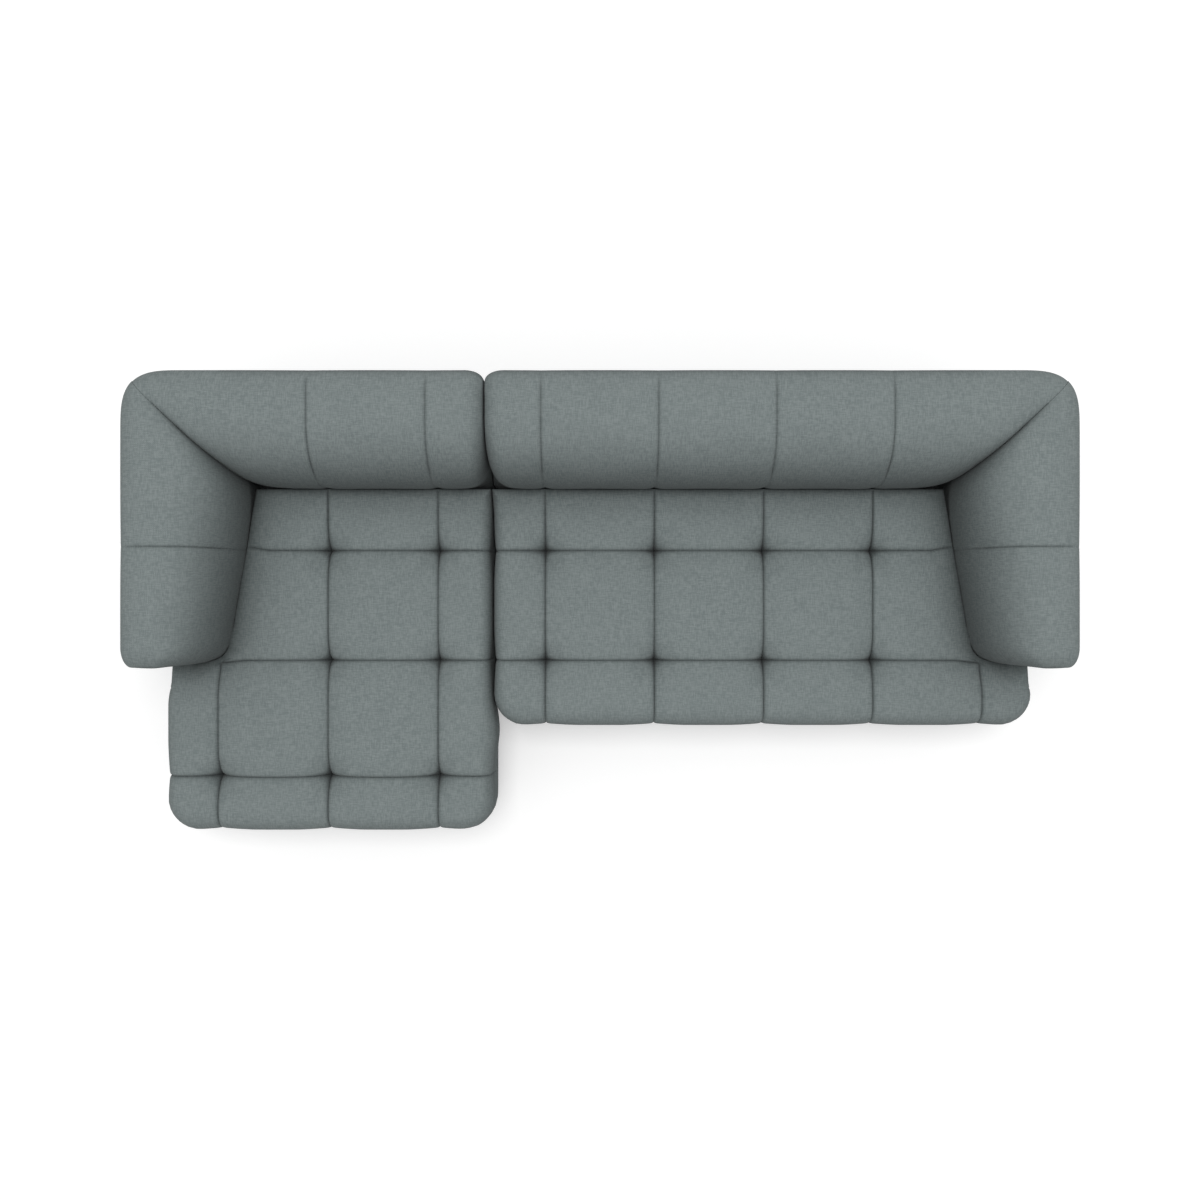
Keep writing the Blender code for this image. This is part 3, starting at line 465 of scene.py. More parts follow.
@dataclass(frozen=True)
class SofaSize:
    """Sizes that both modules share, as in the CAD part."""

    width: float = 2.82
    back_y: float = 0.706
    settee_front_y: float = -0.372
    back_height: float = 0.745
    back_thickness: float = 0.327
    arm_taper: float = 0.170
    arm_front_y: float = -0.180
    arm_draw_in: float = 0.010
    arm_overhang: float = 0.022
    arm_seam_y: float = -0.161
    rear_strip: float = 0.193
    front_strip: float = 0.179
    joint_strip: float = 0.167
    outer_strip: float = 0.182
    base_bottom: float = 0.130
    deck: float = 0.2286
    frame_inset: float = 0.050
    joint_wall: float = 0.030
    inner_wall: float = 0.040
    top_wall: float = 0.045
    frame_top: float = 0.700
    foam_top: float = 0.340
    gap: float = 0.0003

    @property
    def seat_rear_y(self) -> float:
        """World y of the seat's rear edge."""
        return self.back_y - self.back_thickness

    @property
    def middle_row(self) -> float:
        """Depth of the quilt's middle row."""
        return self.seat_rear_y - self.rear_strip - self.arm_seam_y

    @property
    def arm_end(self) -> float:
        """Distance from the sofa's back to the padded end of an arm."""
        return self.back_y - self.arm_front_y - self.arm_draw_in

    def arm_thickness(self, along: Array) -> Array:
        """Arm thickness at distances from the sofa's back."""
        return self.back_thickness - self.arm_taper * np.maximum(0.0, along - self.back_thickness)


SIZE = SofaSize()


@dataclass(frozen=True)
class ModuleSize:
    """One module, with lengths counted from its joint face towards its arm."""

    body: Body
    side: int
    joint_face: float
    front: float
    cells: int
    front_seam: bool
    free_bulge: float

    @property
    def name(self) -> str:
        """Name of the module, as its nodes have it."""
        return self.body.value

    def x(self, length: Array | float) -> Array | float:
        """World x of lengths from the joint face."""
        return self.joint_face + self.side * length

    @property
    def arm_outer(self) -> float:
        """Length from the joint face to the arm's outer face."""
        return abs(self.side * SIZE.width / 2 - self.joint_face)

    @property
    def seat_outer(self) -> float:
        """Length from the joint face to the seat's free side."""
        return self.arm_outer - SIZE.arm_overhang

    @property
    def frame_outer(self) -> float:
        """Length from the joint face to the outer plane of the timber."""
        return self.seat_outer - SIZE.frame_inset

    @property
    def pitch(self) -> float:
        """Width of one quilt cell."""
        return (self.seat_outer - SIZE.joint_strip - SIZE.outer_strip) / self.cells

    @property
    def seams(self) -> list[float]:
        """Lengths of the seams that run from front to back."""
        return [SIZE.joint_strip + self.pitch * number for number in range(self.cells + 1)]

    @property
    def rows(self) -> list[float]:
        """Distances of the cross seams from the seat's rear edge."""
        places = [SIZE.rear_strip, SIZE.rear_strip + SIZE.middle_row]
        if self.front_seam:
            places.append(SIZE.seat_rear_y - self.front - SIZE.front_strip)
        return places


CHAISE = ModuleSize(
    body=Body.CHAISE, side=-1, joint_face=-0.344, front=-0.706, cells=2, front_seam=True, free_bulge=0.014
)
SETTEE = ModuleSize(
    body=Body.SETTEE, side=1, joint_face=-0.340, front=-0.372, cells=4, front_seam=False, free_bulge=0.0
)


# Meshes


Face = tuple[int, ...]


def band(upper: Sequence[int], lower: Sequence[int]) -> list[Face]:
    """Faces between two closed loops that have as many points each.

    Args:
        upper: Point numbers of one loop.
        lower: Point numbers of the other.

    Returns:
        The faces, in order round the loops.
    """
    count = len(upper)
    return [
        (int(upper[i]), int(upper[(i + 1) % count]), int(lower[(i + 1) % count]), int(lower[i]))
        for i in range(count)
    ]


def ring_stack(rings: int, count: int) -> list[Face]:
    """Faces along rings that are numbered one after another, without the caps."""
    loops = [range(ring * count, (ring + 1) * count) for ring in range(rings)]
    return [face for upper, lower in zip(loops, loops[1:]) for face in band(upper, lower)]


@dataclass
class Skin:
    """Points and faces of a sewn skin.

    hold says how firmly each point is sewn down, and the last field is painted shade: how far each point's
    colour is darkened where shade falls in creases and corners. Both run from 0 to 1.
    """

    points: Array
    faces: list[Face]
    hold: Array | None = None
    dusk: Array | None = None

    def to_object(self, name: str) -> bpy.types.Object:
        """Make the skin an object with its faces pointing out."""
        mesh = bpy.data.meshes.new(name)
        mesh.from_pydata(self.points.tolist(), [], self.faces)
        # The painted shade is kept as a point attribute that the cloth's colour reads.
        if self.dusk is not None:
            layer = mesh.attributes.new(PAINTED_SHADE_LAYER, "FLOAT", "POINT")
            layer.data.foreach_set("value", self.dusk.astype(np.float32))
        bm = bmesh.new()
        bm.from_mesh(mesh)
        bmesh.ops.recalc_face_normals(bm, faces=bm.faces)
        bm.to_mesh(mesh)
        bm.free()
        obj = bpy.data.objects.new(name, mesh)
        bpy.context.scene.collection.objects.link(obj)
        return obj


def apply_modifiers(obj: bpy.types.Object) -> None:
    """Turn an object's modifiers into its mesh."""
    graph = bpy.context.evaluated_depsgraph_get()
    mesh = bpy.data.meshes.new_from_object(obj.evaluated_get(graph))
    obj.modifiers.clear()
    old = obj.data
    obj.data = mesh
    bpy.data.meshes.remove(old)


def loft_object(name: str, rings: Sequence[Sequence[Sequence[float]]]) -> bpy.types.Object:
    """A closed body through rings that have as many points each."""
    count = len(rings[0])
    points = np.array([point for ring in rings for point in ring], float)
    last = len(points) - count
    caps = [tuple(range(count)), tuple(range(last, last + count))]
    return Skin(points, caps + ring_stack(len(rings), count)).to_object(name)


def prism_object(
    name: str, outline: Sequence[tuple[float, float]], low: float, high: float
) -> bpy.types.Object:
    """A flat outline raised between two heights."""
    return loft_object(name, [[(x, y, z) for x, y in outline] for z in (low, high)])


def carve(obj: bpy.types.Object, cutters: Sequence[bpy.types.Object]) -> None:
    """Cut some objects out of another and remove them."""
    for cutter in cutters:
        modifier = obj.modifiers.new(cutter.name, "BOOLEAN")
        modifier.operation = "DIFFERENCE"
        modifier.solver = "EXACT"
        modifier.object = cutter
    apply_modifiers(obj)
    for cutter in cutters:
        bpy.data.objects.remove(cutter)


def shade(obj: bpy.types.Object, angle: float = 50.0) -> None:
    """Shade a piece smooth, apart from its sharp edges."""
    obj.data.shade_smooth()
    obj.data.set_sharp_from_angle(angle=math.radians(angle))


@dataclass(frozen=True)
class Stuffing:
    """Fills a sewn skin from inside by cloth simulation.

    The seams are held where they are sewn, and no point moves further than the cap.
    """

    pressure: float = 4.0
    mass: float = 0.02
    frames: int = 12
    cap: float = 0.010
    quality: int = 2
    stretch: float = 6.0
    shear: float = 3.0
    bending: float = 0.05
    hold_power: int = 4

    def fill(self, obj: bpy.types.Object, hold: Array) -> float:
        """Swell a piece.

        Args:
            obj: The piece.
            hold: How firmly each of its points is sewn down.

        Returns:
            The furthest that a point has moved.
        """
        group = obj.vertex_groups.new(name="sewn")
        for level in np.unique(np.round(hold, 2)):
            members = np.flatnonzero(np.round(hold, 2) == level).tolist()
            group.add(members, float(level), "REPLACE")
        cloth = obj.modifiers.new("stuffing", "CLOTH")
        settings = cloth.settings
        settings.quality = self.quality
        settings.mass = self.mass
        settings.tension_stiffness = self.stretch
        settings.compression_stiffness = self.stretch
        settings.shear_stiffness = self.shear
        settings.bending_stiffness = self.bending
        settings.vertex_group_mass = group.name
        settings.pin_stiffness = 1.0
        settings.use_pressure = True
        settings.uniform_pressure_force = self.pressure
        settings.effector_weights.gravity = 0.0
        cloth.collision_settings.use_collision = False
        cloth.point_cache.frame_start = 1
        cloth.point_cache.frame_end = self.frames
        for number in range(1, self.frames + 1):
            bpy.context.scene.frame_set(number)
        before = np.empty(len(obj.data.vertices) * 3)
        obj.data.vertices.foreach_get("co", before)
        graph = bpy.context.evaluated_depsgraph_get()
        swollen = obj.evaluated_get(graph).data
        after = np.empty_like(before)
        swollen.vertices.foreach_get("co", after)
        obj.modifiers.remove(cloth)
        obj.vertex_groups.remove(group)
        bpy.context.scene.frame_set(1)
        moved = (after - before).reshape(-1, 3)
        far = np.linalg.norm(moved, axis=1)
        limited = np.where(far > 1e-9, self.cap * np.tanh(far / self.cap) / np.maximum(far, 1e-9), 1.0)
        moved *= (limited * (1 - np.clip(hold, 0, 1) ** self.hold_power))[:, None]
        obj.data.vertices.foreach_set("co", (before.reshape(-1, 3) + moved).ravel())
        obj.data.update()
        return float(far.max())


# Covers


@dataclass
class QuiltPlan:
    """Grid of a quilt's top, which has no cells behind the arm's front corner.

    columns and rows are its lines, as lengths from the joint face and distances from the seat's rear edge.
    cell_column, column and row are the lines that start the last cell and that meet at the arm's corner.
    across and down are crown shares, 0 on a seam and 1 in mid cell. crease_x and crease_y are 1 on a seam.
    """

    columns: Array
    rows: Array
    cell_column: int
    column: int
    row: int
    length: Array
    y: Array
    across: Array
    down: Array
    crease_x: Array
    crease_y: Array

    @property
    def crease(self) -> Array:
        """The deeper of the two creases."""
        return np.maximum(self.crease_x, self.crease_y)

    @property
    def kept(self) -> Array:
        """Which places of the grid the quilt has."""
        kept = np.ones(self.length.shape, bool)
        kept[: self.row, self.column + 1 :] = False
        return kept


@dataclass
class QuiltRim:
    """How a quilt's top turns down at each place of its rim.

    x, y and crown are where the top ends, and outward is the direction out of it. width is how far out the
    side becomes upright, and level how high. free is 1 on a free side and 0 where the seat is tucked in.
    nip, bulge and draw are how far the side is drawn in at a seam, bulges out at the joint and is drawn in
    at the far end. shut is 1 where it lies against the other module, and off_arm is 0 beside the arm.
    """

    x: Array
    y: Array
    crown: Array
    free: Array
    width: Array
    level: Array
    outward: Array
    nip: Array
    bulge: Array
    draw: Array
    shut: Array
    off_arm: Array


@dataclass(frozen=True)
class SeatCover:
    """Quilted seat cover of one module."""

    module: ModuleSize
    step: float = 0.0105
    crest: float = 0.445
    broad_sink: float = 0.012
    crease_sink: float = 0.0145
    crease_width: float = 0.0038
    crease_end: float = 0.016
    tuft_sink: float = 0.022
    tuft_spread: float = 0.052
    pinch_sink: float = 0.026
    pinch_spread: float = 0.0125
    # Painted shade of the quilt's top: along the seams, in a star along the seams near each tuft, in each
    # tuft and in a halo round it.
    seam_dusk: float = 0.19
    star_dusk: float = 0.34
    shade_reach: float = 0.045
    tuft_dusk: float = 0.34
    tuft_shade_reach: float = 0.014
    halo_dusk: float = 0.10
    halo_reach: float = 0.050
    # Painted shade on the seat beside the foot of the arm and of the back.
    arm_dusk: float = 0.74
    arm_shade_reach: float = 0.050
    back_dusk: float = 0.50
    back_shade_reach: float = 0.046
    star_reach: float = 0.036
    star_growth: float = 0.9
    star_power: float = 0.35
    # Painted shade along the seat's rolled free edges.
    rim_dusk: float = 0.22
    rim_shade_rise: float = 0.02
    rim_shade_width: float = 0.026
    slack: float = 0.006
    quilt_power: float = 2.2
    edge_share: float = 0.85
    edge_roll: float = 0.070
    joint_roll: float = 0.050
    joint_band: float = 0.03
    tuck_roll: float = 0.070
    roll_power: float = 2.4
    tuck_power: float = 2.2
    tuck_top: float = 0.434
    tuck_end: float = 0.016
    tuck_ease: float = 0.110
    edge_level: float = 0.335
    tuck_level: float = 0.427
    tucked_share: float = 0.3
    corner_radius: float = 0.110
    corner_stretch: float = 1.3
    side_pinch: float = 0.006
    nip_from: float = 0.01
    nip_fade: float = 0.06
    side_groove: float = 0.004
    side_swell: float = 0.004
    side_draw_in: float = 0.012
    crease_hold: float = 1.4
    roll_hold: tuple[float, float] = (0.2, 0.6)
    side_hold: tuple[float, float] = (0.6, 0.4)
    side_hold_share: float = 0.3
    base_seam_share: float = 0.502
    base_seam_depth: float = 0.0045
    base_seam_width: float = 0.022
    hem_turn: float = 0.003
    hem_share: float = 0.97
    arm_end_length: float = 0.060
    arm_end_inner: float = 0.100
    arm_corner: tuple[float, float] = (0.006, 0.004)
    past_arm: float = 0.05
    bend_beside: float = 0.09
    bend_ahead: float = 0.11
    bend_outside: float = 0.08
    calm_reach: float = 0.06
    calm_ahead: tuple[float, float] = (0.02, 0.05)
    front_bow: float = 0.0035
    front_bow_reach: float = 0.09
    joint_bulge: tuple[float, float] = (-0.11, 0.028)
    front_bulge: float = 0.005
    front_bulge_range: tuple[float, float] = (0.03, 0.09)
    shut_range: tuple[float, float] = (-0.15, -0.05)
    free_draw_in: float = 0.008
    arm_draw_in: float = 0.024
    arm_draw_reach: float = 0.145
    draw_range: tuple[float, float] = (0.11, 0.005)
    off_arm_reach: float = 0.08
    side_shares: tuple[float, ...] = (
        *(0.08, 0.18, 0.28, 0.38, 0.45, 0.485, 0.502, 0.52),
        *(0.56, 0.65, 0.75, 0.85, 0.93, 0.98, 1.0),
    )

    def axis_lines(self, start: float, seams: Sequence[float], end: float) -> tuple[Array, list[int]]:
        """Mesh lines along one axis.

        Args:
            start: First line.
            seams: Places of the seams.
            end: Last line.

        Returns:
            The lines, and which of them are seams.
        """
        stops = [start, *seams, end]
        stretches = [bunched(first, second, self.step) for first, second in zip(stops, stops[1:])]
        marks = np.cumsum([len(stretch) for stretch in stretches[:-1]])
        return np.append(np.concatenate(stretches), end), marks.tolist()

    def shares(self, lines: Array, seams: Sequence[float], half: float) -> Array:
        """Share of the crown on each line: 0 on a seam, 1 in mid cell."""
        near = np.min([np.abs(lines - seam) for seam in seams], axis=0)
        puff = 1 - (1 - np.minimum(1.0, near / half)) ** self.quilt_power
        low, high = seams[0] - lines, lines - seams[-1]
        reach = np.maximum(low / (seams[0] - lines[0]), high / (lines[-1] - seams[-1]))
        rim = self.edge_share + (1 - self.edge_share) * np.minimum(1.0, 2 * (1 - np.maximum(reach, 0.0)))
        return np.minimum(rim, puff)

    def creases(self, lines: Array, seams: Sequence[float]) -> Array:
        """Depth share of the sewn crease on each line: 1 on a seam."""
        near = np.min([np.abs(lines - seam) for seam in seams], axis=0)
        return np.exp(-near / self.crease_width)

    def arm_contour(self) -> tuple[Array, Array]:
        """Plan of the arm's foot at the seat, as lengths and world y, from its rear to its outer front."""
        module = self.module
        last = SIZE.arm_end - self.arm_end_length
        straight = np.linspace(SIZE.back_thickness, last, 60)[:-1]
        turn = np.radians(np.linspace(0, 90, 40))
        along = np.concatenate([straight, last + self.arm_end_length * np.sin(turn)])
        recede = np.concatenate([np.zeros(len(straight)), self.arm_end_inner * (1 - np.cos(turn))])
        length = module.arm_outer - SIZE.arm_thickness(along) + recede - SIZE.gap
        y = SIZE.back_y - along - SIZE.gap
        return np.append(length, module.arm_outer + self.past_arm), np.append(y, y[-1])

    def tucked_contour(self, length: float, y: float) -> tuple[Array, Array, int]:
        """Line beside the arm at which the top starts to turn down.

        Args:
            length: Length of the seam that runs into the arm's front corner.
            y: World y of the cross seam that meets it there.

        Returns:
            Its lengths, its world y, and which of its places is the corner.
        """
        contour_x, contour_y = self.arm_contour()
        right, ahead = self.arm_corner
        corner = int(np.argmin(np.hypot(contour_x - length + right, contour_y - y + ahead)))
        tangent = np.gradient(np.stack([contour_x, contour_y]), axis=1)
        tangent /= np.linalg.norm(tangent, axis=0)
        normal = np.stack([tangent[1], -tangent[0]])
        run = np.concatenate([[0], np.cumsum(np.hypot(np.diff(contour_x), np.diff(contour_y)))])
        eased = smooth_share(np.abs(run - run[corner]), 0.0, self.tuck_ease)
        tuck = self.tuck_end + (self.tuck_roll - self.tuck_end) * eased
        return contour_x + normal[0] * tuck, contour_y + normal[1] * tuck, corner

    def bend_to_arm(self, plan: QuiltPlan) -> None:
        """Bend the last cells so that the rim follows the arm and its front corner."""
        columns, rows = plan.columns, plan.rows
        start, a, b = plan.cell_column, plan.column, plan.row
        offset_x, offset_y, corner = self.tucked_contour(columns[a], plan.y[b, a])
        shift = offset_x[corner] - columns[a], offset_y[corner] - plan.y[b, a]

        beside_y = plan.y[: b + 1, a].copy()
        side_y = beside_y + shift[1] * (1 - smooth_share(beside_y - beside_y[b], 0.0, self.bend_beside))
        order = np.argsort(offset_y[: corner + 1])
        side_x = np.interp(side_y, offset_y[: corner + 1][order], offset_x[: corner + 1][order])
        squeeze, lift = side_x - columns[a], side_y - beside_y
        inner = columns[start : a + 1]
        linear = (inner - inner[0]) / (inner[-1] - inner[0])
        close = 1 - smooth_share(inner[-1] - inner, 0.0, self.bend_beside)
        plan.length[: b + 1, start : a + 1] += squeeze[:, None] * linear
        plan.y[: b + 1, start : a + 1] += lift[:, None] * close

        fade = (1 - smooth_share(rows[b:] - rows[b], 0.0, self.bend_ahead))[:, None]
        plan.length[b + 1 :, start : a + 1] += fade[1:] * squeeze[-1] * linear
        plan.y[b + 1 :, start : a + 1] += fade[1:] * lift[-1] * close
        outer = columns[a + 1 :]
        front_x = outer + shift[0] * (1 - smooth_share(outer - columns[a], 0.0, self.bend_outside))
        order = np.argsort(offset_x[corner:])
        front_y = np.interp(front_x, offset_x[corner:][order], offset_y[corner:][order])
        plan.length[b:, a + 1 :] += fade * (front_x - outer)
        plan.y[b:, a + 1 :] += fade * (front_y - plan.y[b, a + 1 :])

    def calm_at_arm(self, plan: QuiltPlan) -> None:
        """End the creases at the arm, and keep the quilt's crown beside and in front of it."""
        behind, ahead = plan.rows[plan.row] - plan.rows, plan.rows - plan.rows[plan.row]
        outside = plan.columns - plan.columns[plan.column]
        pitch = self.module.pitch
        beside = smooth_share(outside, -pitch / 2, -pitch / 4)
        plan.across += (1 - plan.across) * (smooth_share(behind, 0.0, self.calm_reach)[:, None] * beside)
        plan.crease_x *= 1 - smooth_share(behind, 0.0, self.crease_end)[:, None] * beside
        near = (1 - smooth_share(ahead, *self.calm_ahead))[:, None]
        raised = np.maximum(plan.down, self.edge_share) - plan.down
        plan.down += raised * (near * smooth_share(outside, 0.0, self.calm_reach))
        plan.crease_y *= 1 - near * smooth_share(outside, 0.0, self.crease_end)

    def round_front(self, plan: QuiltPlan) -> None:
        """Round the two front corners in plan, and bow the front out between the seams of a chaise."""
        module, columns = self.module, plan.columns
        round_y = self.corner_radius - self.edge_roll
        for edge, roll, sign in ((columns[0], self.joint_roll, -1), (columns[-1], self.edge_roll, 1)):
            round_x = self.corner_radius - roll
            u = np.clip(1 - np.abs(edge - plan.length) / round_x, 0, 1)
            v = np.clip(1 - (plan.y - plan.y[-1].min()) / round_y, 0, 1)
            near = (u > 0) & (v > 0)
            plan.length += np.where(near, sign * round_x * u * (np.sqrt(1 - v * v / 2) - 1), 0)
            plan.y -= np.where(near, round_y * v * (np.sqrt(1 - u * u / 2) - 1), 0)
        if module.front_seam:
            middle = np.abs(np.sin(math.pi * (columns - module.seams[0]) / module.pitch))
            middle[(columns < module.seams[0]) | (columns > module.seams[-1])] = 0.0
            nearest = np.exp(-(((plan.rows - module.rows[-1]) / self.front_bow_reach) ** 2))
            plan.y -= self.front_bow * nearest[:, None] * middle

    def plan(self) -> QuiltPlan:
        """Grid of the quilt's top in plan, with its crown shares and creases."""
        module = self.module
        far_x, far_y = module.seat_outer - self.edge_roll, SIZE.seat_rear_y - module.front - self.edge_roll
        columns, column_marks = self.axis_lines(self.joint_roll, module.seams, far_x)
        rows, row_marks = self.axis_lines(self.tuck_roll, module.rows, far_y)
        grids = (
            *np.meshgrid(columns, SIZE.seat_rear_y - rows),
            *np.meshgrid(
                self.shares(columns, module.seams, module.pitch / 2),
                self.shares(rows, module.rows, SIZE.middle_row / 2),
            ),
            *np.meshgrid(self.creases(columns, module.seams), self.creases(rows, module.rows)),
        )
        plan = QuiltPlan(columns, rows, column_marks[-2], column_marks[-1], row_marks[1], *grids)
        self.bend_to_arm(plan)
        self.calm_at_arm(plan)
        self.round_front(plan)
        return plan

    def wall_dusk(self, length: Array, y: Array) -> Array:
        """Painted shade of the seat near the foot of the back and the arm."""
        contour = np.stack(self.arm_contour(), axis=1)[::2]
        apart = np.hypot(length.ravel()[:, None] - contour[:, 0], y.ravel()[:, None] - contour[:, 1])
        beside = apart.min(axis=1).reshape(length.shape)
        behind = np.maximum(SIZE.seat_rear_y - y, 0.0)
        near_arm = self.arm_dusk * np.exp(-beside / self.arm_shade_reach)
        near_back = self.back_dusk * np.exp(-behind / self.back_shade_reach)
        return 1 - (1 - near_arm) * (1 - near_back)

    def from_tuft(self, plan: QuiltPlan) -> Array:
        """Distance of each place from its nearest tuft; the crossing at the arm's corner has none."""
        seams, rows = self.module.seams, self.module.rows
        nearest = np.full(plan.length.shape, 1.0)
        for seam, row in itertools.product(seams, rows):
            if (seam, row) != (seams[-1], rows[1]):
                apart = np.hypot(plan.length - seam, SIZE.seat_rear_y - plan.y - row)
                nearest = np.minimum(nearest, apart)
        return nearest

    def top_heights(self, plan: QuiltPlan) -> tuple[Array, Array]:
        """Heights of the quilt's top, a little slack where stuffing will fill it, and the painted shade of
        its seams, tufts and the corners by the arm and the back.
        """
        puff = plan.across * plan.down
        nearest = self.from_tuft(plan)
        star = self.star_growth * np.exp(-((nearest / self.star_reach) ** 2))
        crease = plan.crease ** (1 / (1 + star))
        height = self.crest - self.broad_sink * (1 - puff) - self.crease_sink * (1 + star) * crease
        height -= self.tuft_sink * np.exp(-((nearest / self.tuft_spread) ** 2))
        height -= self.pinch_sink * np.exp(-((nearest / self.pinch_spread) ** 2))
        slack = self.slack
        # Painted shade: darkening of the cloth along the seams and round the tufts, then beside the arm and
        # the back.
        beside = plan.crease**self.star_power * np.exp(-nearest / self.shade_reach)
        dusk = self.seam_dusk * plan.crease + self.star_dusk * beside
        dusk += self.tuft_dusk * np.exp(-nearest / self.tuft_shade_reach)
        dusk += self.halo_dusk * np.exp(-((nearest / self.halo_reach) ** 2))
        dusk = 1 - (1 - np.clip(dusk, 0, 1)) * (1 - self.wall_dusk(plan.length, plan.y))
        return height - slack * puff, dusk

    def border(self, plan: QuiltPlan) -> tuple[tuple[Array, Array], Array, Array]:
        """Rim of the top grid.

        Args:
            plan: The grid.

        Returns:
            Rows and columns of the places round the rim, their roll-over widths, and 1 on a free side.
        """
        a, b = plan.column, plan.row
        rows, columns = plan.length.shape
        sides = [
            ([(0, c) for c in range(a)], self.tuck_roll, 0),
            ([(r, a) for r in range(b)], self.tuck_roll, 0),
            ([(b, c) for c in range(a, columns - 1)], self.tuck_roll, 0),
            ([(r, columns - 1) for r in range(b, rows - 1)], self.edge_roll, 1),
            ([(rows - 1, c) for c in range(columns - 1, 0, -1)], self.edge_roll, 1),
            ([(r, 0) for r in range(rows - 1, 0, -1)], self.joint_roll, 1),
        ]
        row, column = np.array([place for side, _, _ in sides for place in side]).T
        width = np.concatenate([np.full(len(side), roll) for side, roll, _ in sides])
        free = np.concatenate([np.full(len(side), float(flag)) for side, _, flag in sides])
        return (row, column), width, free

    def outward(self, x: Array, y: Array) -> Array:
        """Directions out of a closed rim, longer at its corners."""
        before = np.stack([x - np.roll(x, 1), y - np.roll(y, 1)])
        after = np.stack([np.roll(x, -1) - x, np.roll(y, -1) - y])
        tangent = before / np.linalg.norm(before, axis=0) + after / np.linalg.norm(after, axis=0)
        size = np.linalg.norm(tangent, axis=0)
        tangent /= size
        return np.stack([-tangent[1], tangent[0]]) * np.minimum(self.corner_stretch, 2 / size)

    def rim(self, plan: QuiltPlan, height: Array) -> tuple[tuple[Array, Array], QuiltRim]:
        """Work out how the top turns down at its rim.

        Args:
            plan: The quilt's grid.
            height: Heights of the grid.

        Returns:
            Rows and columns of the rim's places, and how the top turns down there.
        """
        module = self.module
        at, width, free = self.border(plan)
        x, y, crown = plan.length[at], plan.y[at], height[at]
        edge, near_joint = free > 0, x < self.joint_roll + self.joint_band
        outward = self.outward(x, y)
        facing = np.abs(outward) / np.maximum(np.linalg.norm(outward, axis=0), 1e-9)
        turning = self.joint_roll * facing[0] ** 2 + self.edge_roll * facing[1] ** 2
        width = np.where(edge & near_joint, turning, width)
        spot = plan.row, plan.column
        eased = smooth_share(np.hypot(x - plan.length[spot], y - plan.y[spot]), 0.0, self.tuck_ease)
        width = np.where(edge, width, self.tuck_end + (width - self.tuck_end) * eased)
        level = self.tuck_level + (self.edge_level - self.tuck_level) * free
        raised = level + (np.minimum(crown, self.tuck_top) - level) * (1 - eased)
        level = np.where(edge, level, raised)
        rear = int(np.argmin(np.hypot(x - plan.length[0, 0], y - plan.y[0, 0])))
        outward[:, rear] = np.array([-self.joint_roll, self.tuck_roll]) / width[rear]

        low_crown = np.minimum(plan.across[at], plan.down[at])
        pinch = self.side_pinch * (1 - np.minimum(1.0, low_crown / self.edge_share))
        ends = np.maximum(plan.crease_x[at] * (facing[1] > 0.9), plan.crease_y[at] * (facing[0] > 0.9))
        past = SIZE.settee_front_y - y
        bulge = module.free_bulge * smooth_share(past, *self.joint_bulge)
        bulge -= self.front_bulge * module.front_seam * smooth_share(past, *self.front_bulge_range)
        joint_side = near_joint & edge
        free_end = plan.length[:, -1].max()
        from_row = SIZE.seat_rear_y - y - module.rows[1]
        draw = self.free_draw_in + self.arm_draw_in * (1 - smooth_share(from_row, 0.0, self.arm_draw_reach))
        clear = smooth_share(plan.y[plan.row, -1] - y, 0.0, self.off_arm_reach)
        return at, QuiltRim(
            x=x,
            y=y,
            crown=crown,
            free=free,
            width=width,
            level=level,
            outward=outward,
            nip=pinch + self.side_groove * ends,
            bulge=bulge * joint_side,
            draw=draw * smooth_share(x, free_end - self.draw_range[0], free_end - self.draw_range[1]),
            shut=joint_side * (1 - smooth_share(past, *self.shut_range)),
            off_arm=np.where(near_joint, 1.0, clear),
        )

    def side_rings(self, rim: QuiltRim) -> list[tuple[Array, Array, Array, Array]]:
        """Rings from the rim to the hem: share of the roll-over, inset, height and hold of each."""
        count = len(rim.free)
        power = self.tuck_power + (self.roll_power - self.tuck_power) * rim.free
        rings = []
        for angle in np.linspace(0, 90, 11)[1:]:
            turn = math.radians(angle)
            reach = math.sin(turn) ** (2 / power)
            drop = max(0.0, math.cos(turn)) ** (2 / power)
            height = rim.level + (rim.crown - rim.level) * drop
            rings.append((reach, np.zeros(count), height, self.roll_hold[0] + self.roll_hold[1] * reach))
        for share in self.side_shares:
            above_seam = min(1.0, share / self.base_seam_share)
            swell = self.side_swell * np.sin(math.pi * above_seam) * rim.free
            seam = self.base_seam_depth * math.exp(-abs(share - self.base_seam_share) / self.base_seam_width)
            turned = max(0.0, (share - self.hem_share) / (1 - self.hem_share))
            tuck_in = self.side_draw_in * share**3 + self.hem_turn * turned
            inset = (seam + tuck_in) * rim.free * (1 - rim.shut) - swell * 0.5
            height = rim.level + (SIZE.base_bottom - rim.level) * share
            sewn = self.side_hold[0] + self.side_hold[1] * min(1.0, share / self.side_hold_share)
            rings.append((np.ones(count), inset, height, np.full(count, sewn)))
        return rings

    def skin(self) -> Skin:
        """The whole skin: the quilted top, its rolled edges, its sides and a flat hem."""
        plan = self.plan()
        height, dusk = self.top_heights(plan)
        kept = plan.kept
        number = np.full(kept.shape, -1)
        number[kept] = np.arange(kept.sum())
        corners = [number[:-1, :-1], number[:-1, 1:], number[1:, 1:], number[1:, :-1]]
        cells = np.stack(corners, axis=-1).reshape(-1, 4)
        faces = [tuple(cell) for cell in cells[cells.min(axis=1) >= 0].tolist()]
        points = [np.stack([plan.length[kept], plan.y[kept], height[kept]], axis=1)]
        # Each point of the top keeps its painted shade.
        hold, painted_shades = [np.clip(plan.crease * self.crease_hold, 0, 1)[kept]], [dusk[kept]]

